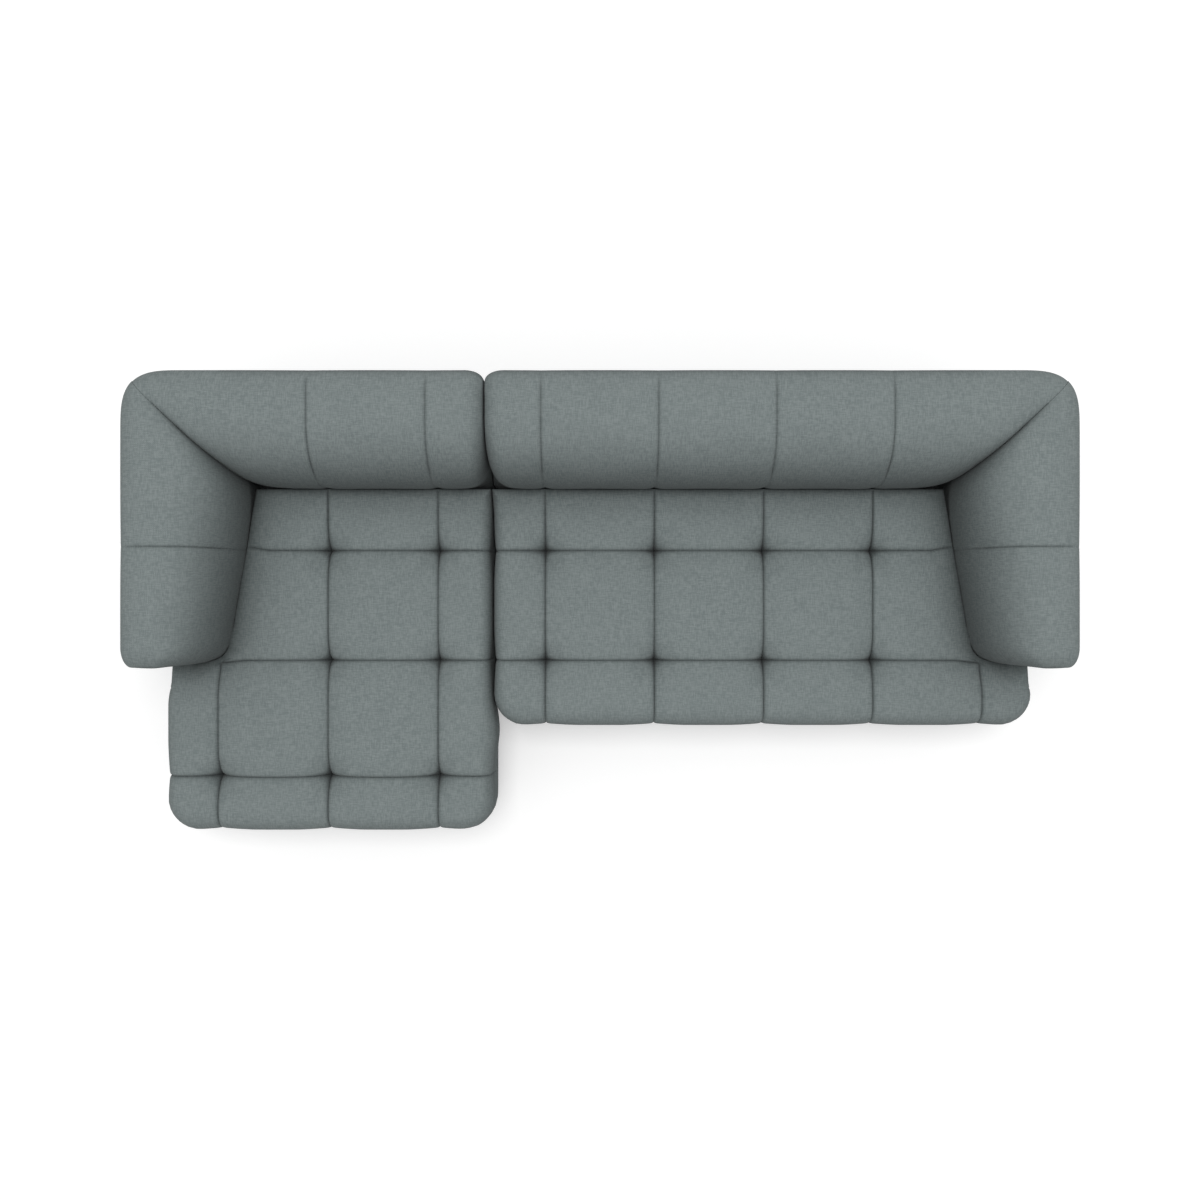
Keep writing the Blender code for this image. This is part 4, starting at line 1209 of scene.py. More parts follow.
        at, rim = self.rim(plan, height)
        total = len(points[0])
        loop = number[at]
        for reach, inset, z, sewn in self.side_rings(rim):
            above_deck = np.clip((z - SIZE.deck - self.nip_from) / self.nip_fade, 0, 1)
            fade = np.where(reach < 1, 1.0, above_deck)
            drawn = (inset + rim.nip * fade * reach) * (rim.free + (1 - rim.free) * self.tucked_share)
            x = rim.x + rim.outward[0] * (rim.width * reach - drawn)
            x = x - (rim.bulge + rim.draw) * reach
            x = np.where(rim.free > 0, x, np.maximum(x, 0.0))
            x = np.maximum(x, -rim.bulge)
            y = rim.y + rim.outward[1] * (rim.width * reach - drawn * rim.off_arm)
            # Painted shade: a dark band along the rolled free edges, and beside the arm and the back where
            # the seat is tucked in.
            from_level = np.abs(z - rim.level - self.rim_shade_rise)
            rolled = self.rim_dusk * np.exp(-from_level / self.rim_shade_width)
            free_side_shade = dusk[at] * (1 - 0.5 * reach) + rolled
            points.append(np.stack([x, y, z], axis=1))
            hold.append(sewn)
            painted_shades.append(np.where(rim.free > 0, free_side_shade, self.wall_dusk(x, y)))
            lower = np.arange(total, total + len(loop))
            faces += band(loop, lower)
            loop, total = lower, total + len(loop)
        faces.append(tuple(loop.tolist()))
        everything = np.concatenate(points)
        everything[:, 0] = self.module.x(everything[:, 0])
        return Skin(everything, faces, np.concatenate(hold), np.concatenate(painted_shades))

    def build(self) -> bpy.types.Object:
        """Build the cover, stuff it and cut out the space of what it holds."""
        module = self.module
        skin = self.skin()
        obj = skin.to_object(f"{module.name}_quilted_seat_cover")
        moved = Stuffing().fill(obj, skin.hold)
        LOG.info("%s: swelled by %.1f mm before the cap", obj.name, moved * 1000)
        hollow = prism_object("hollow", seat_outline(module, SIZE.gap), SIZE.deck - CUT_PAST, SIZE.foam_top)
        carve(obj, [hollow, base_space(module)])
        shade(obj)
        return obj


def seat_outline(module: ModuleSize, growth: float) -> list[tuple[float, float]]:
    """Plan of the seat foam.

    Args:
        module: The module.
        growth: How far the outline is grown.

    Returns:
        Corners in plan.
    """
    joint = SIZE.joint_wall - growth
    outer = module.frame_outer + growth
    front = module.front + SIZE.frame_inset - growth
    rear = SIZE.seat_rear_y - SIZE.inner_wall + growth
    arm_front = SIZE.arm_front_y - SIZE.inner_wall + growth
    inset = SIZE.inner_wall - growth
    corners = [(joint, rear), (joint, front), (outer, front), (outer, arm_front)]
    for y in (arm_front, rear):
        thickness = float(SIZE.arm_thickness(np.float64(SIZE.back_y - y)))
        corners.append((module.arm_outer - thickness - inset, y))
    return [(float(module.x(length)), y) for length, y in corners]


def base_space(module: ModuleSize) -> bpy.types.Object:
    """The space of the base frame, which the covers reach round."""
    near, far = module.x(SIZE.joint_wall - SIZE.gap), module.x(module.frame_outer + SIZE.gap)
    front = module.front + SIZE.frame_inset - SIZE.gap
    rear = SIZE.back_y - SIZE.frame_inset + SIZE.gap
    outline = [(near, front), (far, front), (far, rear), (near, rear)]
    return prism_object("base_space", outline, SIZE.base_bottom - CUT_PAST, SIZE.deck)


@dataclass(frozen=True)
class Section:
    """Section of a back or an arm, from its outer foot over the top to its inner foot."""

    edge_width: float = 0.080
    edge_drop: float = 0.060
    round_start: float = 0.150
    core_foot: float = 0.350
    mitre_foot: float = 0.425
    back_foot: float = 0.510
    tuck_under: float = 0.004
    power: float = 2.1
    draw_in: float = 0.012
    draw_from: float = 0.457
    draw_depth: float = 0.327
    seam_rise: float = 0.008
    outer_heights: tuple[float, ...] = (
        *(0.130, 0.133, 0.140, 0.152, 0.168, 0.186, 0.204),
        *(0.218, 0.2265, 0.232, 0.2375, 0.246, 0.262),
    )
    lower_shares: tuple[float, ...] = (0.93, 0.82, 0.66, 0.48, 0.30, 0.12, 0.0, -0.6, -1.0)

    @cached_property
    def knots(self) -> dict[str, Array]:
        """Parts of the section that don't depend on its thickness."""
        foot = SIZE.back_height - self.edge_drop
        outer_z = np.concatenate([self.outer_heights, np.linspace(self.outer_heights[-1], foot, 30)[1:-1]])
        edge = np.radians(np.linspace(0, 90, 13))
        flat = np.linspace(0, 1, 9)[1:-1]
        face = np.radians(np.linspace(90, 0, 45))
        lower = np.array(self.lower_shares)
        return {"outer_z": outer_z, "edge": edge, "flat": flat, "face": face, "lower": lower}

    def parts(self, thickness: Array, foot_height: Array) -> dict[str, Array]:
        """Section points at some thicknesses.

        Args:
            thickness: A column of thicknesses, or one thickness for each point.
            foot_height: A column of heights at which the inner face turns upright.

        Returns:
            inward, height, normal_in, normal_up, outer and inner, each with a row for each thickness.
        """
        knots = self.knots
        sizes = [len(knots[name]) for name in ("outer_z", "edge", "flat", "face", "lower")]
        total = sum(sizes)
        thick = np.broadcast_to(thickness, (thickness.shape[0], total))
        cuts = np.split(thick, np.cumsum(sizes)[:-1], axis=1)
        start = [cut * self.round_start / SIZE.back_thickness for cut in cuts]
        ones = [np.ones_like(cut) for cut in cuts]
        foot = SIZE.back_height - self.edge_drop
        drop = SIZE.back_height - foot_height
        seam_z = SIZE.deck + self.seam_rise
        under = self.tuck_under * (foot_height - self.mitre_foot) / (self.back_foot - self.mitre_foot)
        z = knots["outer_z"]
        pull = np.maximum(0, (self.draw_from - z) / self.draw_depth) ** 4
        edge, face = knots["edge"], knots["face"]
        cos_share = np.maximum(0, np.cos(face)) ** (2 / self.power)
        sin_share = np.maximum(0, np.sin(face)) ** (2 / self.power)
        width = cuts[3] - start[3]
        slope = self.power - 1
        norm_in, norm_up = cos_share**slope / width, sin_share**slope / drop
        norm = np.hypot(norm_in, norm_up)
        edge_in, edge_up = np.cos(edge) / self.edge_width, np.sin(edge) / self.edge_drop
        edge_norm = np.hypot(edge_in, edge_up)
        inward = [
            ones[0] * self.draw_in * pull,
            ones[1] * self.edge_width * (1 - np.cos(edge)),
            self.edge_width + (start[2] - self.edge_width) * knots["flat"],
            start[3] + width * cos_share,
            cuts[4] - under * np.sin(math.pi * np.clip(1 - knots["lower"], 0, 1)),
        ]
        from_seam = np.where(knots["lower"] > 0, foot_height - seam_z, seam_z - SIZE.base_bottom)
        height = [
            ones[0] * z,
            ones[1] * (foot + self.edge_drop * np.sin(edge)),
            ones[2] * SIZE.back_height,
            ones[3] * (foot_height + drop * sin_share),
            seam_z + from_seam * knots["lower"],
        ]
        zeros = [one * 0 for one in ones]
        normal_in = [-ones[0], -ones[1] * edge_in / edge_norm, zeros[2], norm_in / norm, ones[4]]
        normal_up = [zeros[0], ones[1] * edge_up / edge_norm, ones[2], norm_up / norm, zeros[4]]
        outer = [ones[0], ones[1] * np.cos(edge), zeros[2], zeros[3], zeros[4]]
        inner = [zeros[0], zeros[1], zeros[2], ones[3] * np.cos(face), ones[4]]
        made = (inward, height, normal_in, normal_up, outer, inner)
        names = ("inward", "height", "normal_in", "normal_up", "outer", "inner")
        return {name: np.concatenate(part, axis=1) for name, part in zip(names, made)}


@dataclass
class RunPlaces:
    """Places of a run's rings before the cover is drawn in, a row for each ring.

    stations and parts are what PaddedRun.stations and Section.parts say. fade is 0 where the quilt ends at
    the mitre. from_foot and beside are the distances from the inner face's foot and from the mitre's line,
    and valley is the strength of the mitre's valley.
    """

    stations: dict[str, Array]
    parts: dict[str, Array]
    fade: Array
    from_foot: Array
    beside: Array
    valley: Array

    @property
    def near_mitre(self) -> Array:
        """Whether each ring is in the half of the fan beside the mitre."""
        return self.stations["fan"] < 0.5

    @property
    def outside(self) -> Array:
        """1 on the outer face, 0 on the top and the inner face."""
        return self.parts["outer"] ** 2

    @property
    def visible(self) -> Array:
        """How much of the quilt shows at each point."""
        return self.fade * (1 - self.outside)


@dataclass(frozen=True)
class PaddedRun:
    """Padded cover that runs along a back or an arm from the mitre to a free end."""

    module: ModuleSize
    is_arm: bool
    step: float = 0.0115
    seam_sink: float = 0.006
    crease_sink: float = 0.009
    crease_width: float = 0.0042
    mitre_sink: float = 0.030
    mitre_from: float = 0.022
    # Painted shade of the back and the arm: in the cross seams, at the foot of the inner face, along the top
    # outer edge, round the free end and in the mitre.
    seam_dusk: float = 0.12
    foot_dusk: float = 0.52
    foot_shade_reach: float = 0.050
    edge_dusk: float = 0.42
    end_dusk: float = 0.30
    foot_ease: float = 0.030
    mitre_dusk: float = 0.30
    mitre_shade_width: float = 0.012
    mitre_width: float = 0.018
    slack: float = 0.004
    side_fill: float = 0.002
    arm_side_fill: float = 0.004
    corner_radius: float = 0.178
    corner_power: float = 3.42
    # Painted shade at the arm's foot, round the free end, along a line just below the top outer edge, which
    # is weaker on an arm, and on the hidden lower inner face.
    arm_foot_dusk: float = 0.56
    arm_foot_reach: float = 0.040
    arm_edge_ease: float = 0.75
    end_shade_power: float = 1.5
    edge_shade_height: float = 0.699
    edge_shade_width: float = 0.011
    hidden_dusk: float = 0.6
    hidden_below: float = 0.43
    tuck_fade: tuple[float, float] = (0.385, 0.425)
    tuck_fade_share: float = 0.6
    base_seam: tuple[float, float] = (0.232, 0.0035)
    top_seam: tuple[float, float] = (0.678, 0.0025)
    raised_seam_width: float = 0.004
    panel_crown: float = 0.004
    panel_seam: float = 0.0015
    panel_seam_share: float = 0.08
    panel_seam_width: float = 0.03
    panel_shares: tuple[float, ...] = (0.03, 0.08, 0.16, 0.30, 0.45, 0.62, 0.80, 0.95)
    panel_hem: float = 0.05
    quilt_power: float = 2.2
    fan_share: float = 0.8
    mitre_power: float = 0.4
    mitre_spread: float = 0.4
    outer_sink: float = 0.03
    foot_crease: float = 0.3
    foot_rise_from: float = 0.03
    deck_ease: float = 0.02
    soft_range: tuple[float, float] = (0.30, 0.42)
    fill_range: tuple[float, float] = (0.25, 0.45)
    crown_fill: float = 0.3
    crease_hold: float = 1.3
    outer_hold: float = 0.75
    mitre_hold: float = 0.06
    end_hold: float = 0.9
    hold_range: tuple[float, float] = (0.32, 0.46)
    end_lengths: tuple[float, float] = (0.055, 0.060)
    back_end_rolls: tuple[float, float, float] = (0.031, 0.048, 0.090)
    arm_end_rolls: tuple[float, float, float] = (0.032, 0.042, 0.100)
    swell_cap: float = 0.007
    section: Section = Section()

    @property
    def seams(self) -> list[float]:
        """Distances of the cross seams from the corner."""
        if self.is_arm:
            return [SIZE.back_thickness + SIZE.rear_strip]
        return [self.module.arm_outer - seam for seam in reversed(self.module.seams[:-1])]

    @property
    def end(self) -> float:
        """Distance of the free end from the corner."""
        return SIZE.arm_end if self.is_arm else self.module.arm_outer

    @property
    def end_length(self) -> float:
        """Length over which the free end is rounded."""
        return self.end_lengths[self.is_arm]

    @property
    def end_rolls(self) -> tuple[float, float, float]:
        """How far the free end rolls over at its outer face, top and inner face."""
        return self.arm_end_rolls if self.is_arm else self.back_end_rolls

    def thickness(self, along: Array) -> Array:
        """Thickness at distances along the run."""
        if self.is_arm:
            return SIZE.arm_thickness(along)
        return np.full_like(along, SIZE.back_thickness)

    def foot_height(self, along: Array) -> Array:
        """Height at which the inner face turns upright, at distances along the run."""
        section = self.section
        rise = 0.0 if self.is_arm else section.back_foot - section.mitre_foot
        rise_from = SIZE.back_thickness - self.foot_rise_from
        return section.mitre_foot + rise * smooth_share(along, rise_from, self.seams[0])

    def place(self, inward: Array, along: Array, height: Array) -> Array:
        """World points of places in the run."""
        if self.is_arm:
            return np.stack(
                [self.module.x(self.module.arm_outer - inward), SIZE.back_y - along, height], axis=-1
            )
        return np.stack(
            [self.module.x(self.module.arm_outer - along), SIZE.back_y - inward, height], axis=-1
        )

    def stations(self) -> dict[str, Array]:
        """Rings of the run: place, mitre fan share, crown share, crease share and end turn."""
        seams, half = self.seams, (SIZE.middle_row if self.is_arm else self.module.pitch) / 2
        fan_steps = bunched(0.0, 1.0, self.step / (seams[0] * self.fan_share))
        last = self.end - self.end_length
        stretches = [bunched(first, second, self.step) for first, second in zip(seams, seams[1:])]
        straight = np.concatenate([*stretches, bunched(seams[-1], last, self.step, to_seam=False)])
        turn = np.radians(np.linspace(0, 90, 10))
        ends = last + self.end_length * np.sin(turn)
        near = np.min([np.abs(straight - seam) for seam in seams], axis=0)
        crown = 1 - (1 - np.minimum(1, near / half)) ** self.quilt_power
        from_side = np.minimum(fan_steps, 1 - fan_steps)
        fan_near = from_side * seams[0]
        fan_crown = 1 - (1 - np.minimum(1, 2 * from_side)) ** self.quilt_power
        count = len(fan_steps), len(straight), len(turn)
        return {
            "along": np.concatenate([np.full(count[0], seams[0]), straight, ends]),
            "fan": np.concatenate([fan_steps, np.ones(count[1] + count[2])]),
            "crown": np.concatenate([fan_crown, crown, np.ones(count[2])]),
            "crease": np.exp(-np.concatenate([fan_near, near, np.full(count[2], 1.0)]) / self.crease_width),
            "turn": np.concatenate([np.zeros(count[0] + count[1]), turn]),
        }

    def mitre_start(self, inward: Array) -> Array:
        """Distance from the corner at which the run begins for points this far inward."""
        rounded = self.corner_radius - (self.corner_radius - inward) / 2 ** (1 / self.corner_power)
        return np.where(inward >= self.corner_radius, inward, rounded)

    def round_corner(self, inward: Array, along: Array) -> Array:
        """Inward distances after the corner in plan is rounded."""
        radius, power = self.corner_radius, self.corner_power
        left, passed = np.maximum(radius - inward, 0.0), np.maximum(radius - along, 0.0)
        reach = np.maximum(0.0, left**power - passed**power)
        return np.where((along >= radius) | (inward >= radius), inward, radius - reach ** (1 / power))

    def end_roll(self, parts: dict[str, Array], height: Array) -> Array:
        """How far each point of a section moves in where the free end rolls over.

        Args:
            parts: The section's points.
            height: Their heights.

        Returns:
            The distances.
        """
        outer, top, inner = self.end_rolls
        if self.is_arm:
            return top + (outer - top) * parts["outer"] + (inner - top) * parts["inner"]
        above_seat = smooth_share(height, *self.tuck_fade)
        roll = top + (outer - top) * parts["outer"] + (inner - top) * (parts["inner"] * above_seat)
        return roll * (1 - self.tuck_fade_share * parts["inner"] * (1 - above_seat))

    def raised_seams(self, outer: Array, height: Array) -> Array:
        """Depth of the seams along the outer face, near the base and below the top."""
        (base_z, base_depth), (top_z, top_depth) = self.base_seam, self.top_seam
        width = self.raised_seam_width
        seams = base_depth * np.exp(-np.abs(height - base_z) / width) * (outer == 1)
        return seams + top_depth * np.exp(-np.abs(height - top_z) / width) * (outer > 0.9)

    def places(self) -> RunPlaces:
        """Places of the run's rings before the cover is drawn in."""
        stations = {name: values[:, None] for name, values in self.stations().items()}
        fan = stations["fan"]
        level = np.full_like(stations["along"], SIZE.back_thickness)
        nominal = self.section.parts(level, np.full_like(level, self.section.mitre_foot))
        start = self.mitre_start(nominal["inward"]) + SIZE.gap
        along = np.where(fan < 1, start + (stations["along"] - start) * fan, stations["along"])
        fanned = SIZE.back_thickness + (stations["along"] - SIZE.back_thickness) * fan
        station = np.where(fan < 1, fanned, along[:, :1])
        parts = self.section.parts(self.thickness(along), self.foot_height(station))
        inward = parts["inward"]
        quilted = np.where(fan < 0.5, np.clip(inward / self.corner_radius, 0, 1), 1.0)
        past_ridge = (inward - self.mitre_from) / (SIZE.back_thickness - self.mitre_from)
        return RunPlaces(
            stations=stations,
            parts=parts,
            fade=quilted,
            from_foot=np.maximum(self.thickness(along) - inward, 0.0),
            beside=np.abs(along - start) / math.sqrt(2),
            valley=np.clip(past_ridge, 0, 1) ** self.mitre_power,
        )

    def sink(self, places: RunPlaces) -> Array:
        """How far the quilt's seams and the mitre are drawn in."""
        crown, crease = places.stations["crown"], places.stations["crease"]
        outside, fade, visible = places.outside, places.fade, places.visible
        above_foot = smooth_share(places.from_foot, 0.0, self.foot_ease)
        shown = visible * above_foot + self.outer_sink * outside * fade
        sink = self.seam_sink * (1 - crown) * shown
        share = self.foot_crease
        sink = sink + self.crease_sink * crease * visible * (share + (1 - share) * above_foot)
        width = self.mitre_width * (self.mitre_spread + places.valley)
        valley = self.mitre_sink * places.valley * np.exp(-places.beside / width)
        return sink + valley * visible * places.near_mitre

    def dusk(self, places: RunPlaces) -> Array:
        """Painted shade: how far the cloth's colour is darkened in the seams, at the foot, in the mitre,
        round the free end, along the top outer edge and on the hidden lower inner face.
        """
        outside, height = places.outside, places.parts["height"]
        fold = places.valley * np.exp(-places.beside / self.mitre_shade_width) * places.near_mitre
        cross = self.seam_dusk * places.stations["crease"] * (1 - places.near_mitre)
        sewn = (cross + self.mitre_dusk * fold) * places.visible * self.above_deck(height)
        strength, reach = self.foot_dusk, self.foot_shade_reach
        if self.is_arm:
            strength, reach = self.arm_foot_dusk, self.arm_foot_reach
        foot = strength * np.exp(-places.from_foot / reach) * (1 - outside)
        turned = places.stations["turn"] / (math.pi / 2)
        ending = self.end_dusk * turned**self.end_shade_power * (1 - outside)
        from_edge_shade = np.abs(height - self.edge_shade_height)
        edge_dusk = self.edge_dusk * (1 - self.arm_edge_ease * self.is_arm)
        edge = edge_dusk * np.exp(-from_edge_shade / self.edge_shade_width) * (outside > 0)
        dusk = 1 - (1 - np.clip(sewn, 0, 1)) * (1 - foot) * (1 - edge * places.fade) * (1 - ending)
        hidden = (places.parts["inner"] > 0.5) & (height < self.hidden_below)
        return np.clip(np.where(hidden, np.maximum(dusk, self.hidden_dusk), dusk), 0, 1)

    def sewn(self, places: RunPlaces, height: Array, turned: Array) -> Array:
        """How firmly each point is sewn down.

        Args:
            places: The run's places.
            height: Heights of the finished points.
            turned: How far round the free end each ring is.

        Returns:
            The firmness, from 0 to 1.
        """
        creased = places.stations["crease"] * self.crease_hold * places.visible
        sewn = np.maximum(creased, 1 - smooth_share(height, *self.hold_range))
        sewn = np.maximum(sewn, self.outer_hold * places.outside)
        at_mitre = 1 - smooth_share(places.stations["fan"], 0.0, self.mitre_hold)
        sewn = np.maximum(sewn, np.where(places.near_mitre, at_mitre, 0))
        return np.clip(np.maximum(sewn, turned * self.end_hold + 0 * height), 0, 1)

    def above_deck(self, height: Array) -> Array:
        """0 at the deck and below, 1 a little above it."""
        return smooth_share(height, SIZE.deck, SIZE.deck + self.deck_ease)

    def rings(self) -> tuple[Array, Array, Array]:
        """Points of every ring, how firmly each is sewn down, and its painted shade."""
        places = self.places()
        parts, outside = places.parts, places.outside
        crown, fan = places.stations["crown"], places.stations["fan"]
        inward, height = parts["inward"], parts["height"]
        turned = 1 - np.cos(places.stations["turn"])
        slack = self.slack
        soft = crown * smooth_share(height, *self.soft_range) * (1 - outside)
        fill = self.arm_side_fill if self.is_arm else self.side_fill
        share = self.crown_fill
        filled = fill * outside * ((1 - share) + share * crown) * smooth_share(height, *self.fill_range)
        inset = (self.sink(places) + slack * soft * (turned < 0.5)) * self.above_deck(height)
        inset = inset + self.end_roll(parts, height) * turned
        inset = inset + self.raised_seams(parts["outer"], height) - filled
        inward = inward - parts["normal_in"] * inset
        moved_up = height - parts["normal_up"] * inset
        height = np.where(height < SIZE.deck, height, np.maximum(moved_up, SIZE.base_bottom))
        start, along = self.mitre_start(inward) + SIZE.gap, places.stations["along"]
        along = np.where(fan < 1, start + (along - start) * fan, along)
        inward = self.round_corner(inward, along)
        points = self.place(inward, along + 0 * inward, height)
        return points, self.sewn(places, height, turned), self.dusk(places)

    def skin(self) -> Skin:
        """The whole skin, closed at the mitre and at the free end."""
        points, hold, dusk = self.rings()
        count = points.shape[1]
        loop = points[-1]
        low, high = loop[:, 2].min(), loop[:, 2].max()
        wide, axis = (0, 1) if self.is_arm else (1, 0)
        reach = (loop[:, wide].max() - loop[:, wide].min()) / 2
        spine = loop.copy()
        spine[:, wide] = (loop[:, wide].min() + loop[:, wide].max()) / 2
        spine[:, 2] = np.clip(loop[:, 2], low + reach, high - reach)
        outward = -1.0 if self.is_arm else -float(self.module.side)
        crown = self.panel_crown if self.is_arm else 0.0
        loops = list(points)
        for share in self.panel_shares:
            ring = loop + (spine - loop) * share
            seam = -self.panel_seam * math.exp(-abs(share - self.panel_seam_share) / self.panel_seam_width)
            above_hem = smooth_share(ring[:, 2], SIZE.base_bottom, SIZE.base_bottom + self.panel_hem)
            proud = crown * math.sin(math.pi / 2 * share) + seam * (crown > 0)
            ring[:, axis] += outward * proud * above_hem
            loops.append(ring)
        added = len(self.panel_shares) * count
        sewn = np.concatenate([hold.reshape(-1), np.ones(added)])
        # Painted shade of the rings; the end panel has none.
        painted_shades = np.concatenate([dusk.reshape(-1), np.zeros(added)])
        last = (len(loops) - 1) * count
        faces = [tuple(range(count)), *ring_stack(len(loops), count), tuple(range(last, last + count))]
        return Skin(np.concatenate(loops), faces, sewn, painted_shades)

    def core_ring(self, along: float, outer: float) -> list[Sequence[float]]:
        """Ring of the space inside the cover at one distance from the corner."""
        thickness = float(self.thickness(np.float64(along)))
        gap = SIZE.gap
        outline = [(outer - gap, SIZE.deck - gap), (outer - gap, SIZE.frame_top + gap)]
        start = self.section.round_start * thickness / SIZE.back_thickness
        width, drop = thickness - start, SIZE.back_height - self.section.core_foot
        power = self.section.power
        for angle in (90, 60, 30, 0):
            turn = math.radians(angle)
            cos_share = max(0.0, math.cos(turn)) ** (2 / power)
            sin_share = max(0.0, math.sin(turn)) ** (2 / power)
            normal = Vector((cos_share ** (power - 1) / width, sin_share ** (power - 1) / drop)).normalized()
            wall = (SIZE.top_wall if angle == 90 else SIZE.inner_wall) - gap
            height = self.section.core_foot + drop * sin_share - normal.y * wall
            inward = start + width * cos_share - normal.x * wall
            outline.append((inward, min(height, SIZE.frame_top + gap)))
        outline.append((thickness - SIZE.inner_wall + gap, SIZE.deck - gap))
        spots = np.array(outline)
        return self.place(spots[:, 0], np.full(len(spots), along), spots[:, 1]).tolist()

    def build(self) -> bpy.types.Object:
        """Build the cover, stuff it and cut out the space of what it holds."""
        module = self.module
        label = "arm" if self.is_arm else "back"
        skin = self.skin()
        obj = skin.to_object(f"{module.name}_padded_{label}_cover")
        moved = Stuffing(cap=self.swell_cap).fill(obj, skin.hold)
        LOG.info("%s: swelled by %.1f mm before the cap", obj.name, moved * 1000)
        first = SIZE.frame_inset / 2
        if self.is_arm:
            run_end = SIZE.back_y - (SIZE.arm_front_y + SIZE.inner_wall)
            outer = module.arm_outer - module.frame_outer
            places = [first, SIZE.back_thickness, run_end + SIZE.gap]
        else:
            run_end = module.arm_outer - SIZE.joint_wall
            outer = SIZE.frame_inset
            places = [first, run_end + SIZE.gap]
        hollow = loft_object("hollow", [self.core_ring(along, outer) for along in places])
        carve(obj, [hollow, base_space(module)])
        shade(obj)
        return obj


# Pieces inside and underneath


@dataclass(frozen=True)
class FoamPad:
    """Foam block inside a cover, with its cut edges rounded."""

    node: str
    edge: float = 0.006

    def build(self) -> bpy.types.Object:
        """Build the block in the space of its CAD solid."""
        source = frame["nodes"][self.node]
        mesh = source.data.copy()
        mesh.materials.clear()
        obj = bpy.data.objects.new(f"{self.node}_block", mesh)
        bpy.context.scene.collection.objects.link(obj)
        bm = bmesh.new()
        bm.from_mesh(mesh)
        bmesh.ops.remove_doubles(bm, verts=bm.verts, dist=0.0001)
        bmesh.ops.dissolve_limit(bm, angle_limit=math.radians(2), verts=bm.verts, edges=bm.edges)
        sharp = [edge for edge in bm.edges if edge.calc_face_angle(0.0) > math.radians(25)]
        bmesh.ops.bevel(bm, geom=sharp, offset=self.edge, segments=3, profile=0.5, affect="EDGES")
        bm.to_mesh(mesh)
        bm.free()
        shade(obj, 35)
        return obj


@dataclass(frozen=True)
class StrapMat:
    """Elastic webbing under the seat foam: straps woven over and under each other."""

    module: ModuleSize
    rail_top: float = 0.2253
    thickness: float = 0.0013
    width: float = 0.070
    pitch: float = 0.160
    lap: float = 0.014
    rail: float = 0.050
    bend: float = 0.016
    rise: float = 0.0016
    apart: float = 0.0001

    def middles(self, start: float, end: float) -> list[float]:
        """Middles of the straps that fit between two lines, evenly spaced."""
        count = max(2, round((end - start - self.width) / self.pitch) + 1)
        step = (end - start - self.width) / (count - 1)
        return [start + self.width / 2 + step * number for number in range(count)]

    def strap(
        self, axis: Axis, middle: float, span: tuple[float, float], crossings: list[float], phase: int
    ) -> Skin:
        """One strap.

        Args:
            axis: Direction that it runs in.
            middle: Its middle across that direction.
            span: Its two ends.
            crossings: Middles of the straps that it crosses.
            phase: 0 where it starts over the first of them, 1 where it starts under.

        Returns:
            Its skin.
        """
        half = self.width / 2
        spots = {span[0], span[1]}
        for crossing in crossings:
            around = np.linspace(crossing - half - self.bend, crossing + half + self.bend, 11)
            spots |= {min(max(spot, span[0]), span[1]) for spot in around}
        along = np.array(sorted(spots))
        lift = np.zeros(len(along))
        for number, crossing in enumerate(crossings):
            sign = 1 if (number + phase) % 2 else -1
            away = np.abs(along - crossing)
            lift += sign * (1 - smooth_share(away, half, half + self.bend))
        low = self.rail_top + self.rise + lift * (self.thickness / 2 + self.apart) - self.thickness / 2
        ring = [(-half, 0.0), (half, 0.0), (half, self.thickness), (-half, self.thickness)]
        points = []
        for place, base in zip(along, low):
            for side, up in ring:
                flat = (place, middle + side) if axis is Axis.X else (middle + side, place)
                points.append((float(self.module.x(flat[0])), flat[1], base + up))
        caps = [(0, 1, 2, 3), tuple(len(points) - 4 + i for i in range(4))]
        return Skin(np.array(points), caps + ring_stack(len(along), 4))

    def build(self) -> bpy.types.Object:
        """Weave the straps into one mat."""
        module = self.module
        low_x = SIZE.joint_wall + self.rail - self.lap
        high_x = module.frame_outer - self.rail + self.lap
        low_y = module.front + SIZE.frame_inset + self.rail - self.lap
        high_y = SIZE.seat_rear_y - self.rail / 2 + self.lap
        across, down = self.middles(low_x, high_x), self.middles(low_y, high_y)
        points, faces = [], []
        runs = [(Axis.X, y, (low_x, high_x), across, number) for number, y in enumerate(down)]
        runs += [(Axis.Y, x, (low_y, high_y), down, number + 1) for number, x in enumerate(across)]
        for axis, middle, span, crossings, phase in runs:
            skin = self.strap(axis, middle, span, crossings, phase)
            offset = sum(len(part) for part in points)
            points.append(skin.points)
            faces += [tuple(i + offset for i in face) for face in skin.faces]
        mat = Skin(np.concatenate(points), faces).to_object(f"{module.name}_woven_straps")
        shade(mat, 40)
        return mat


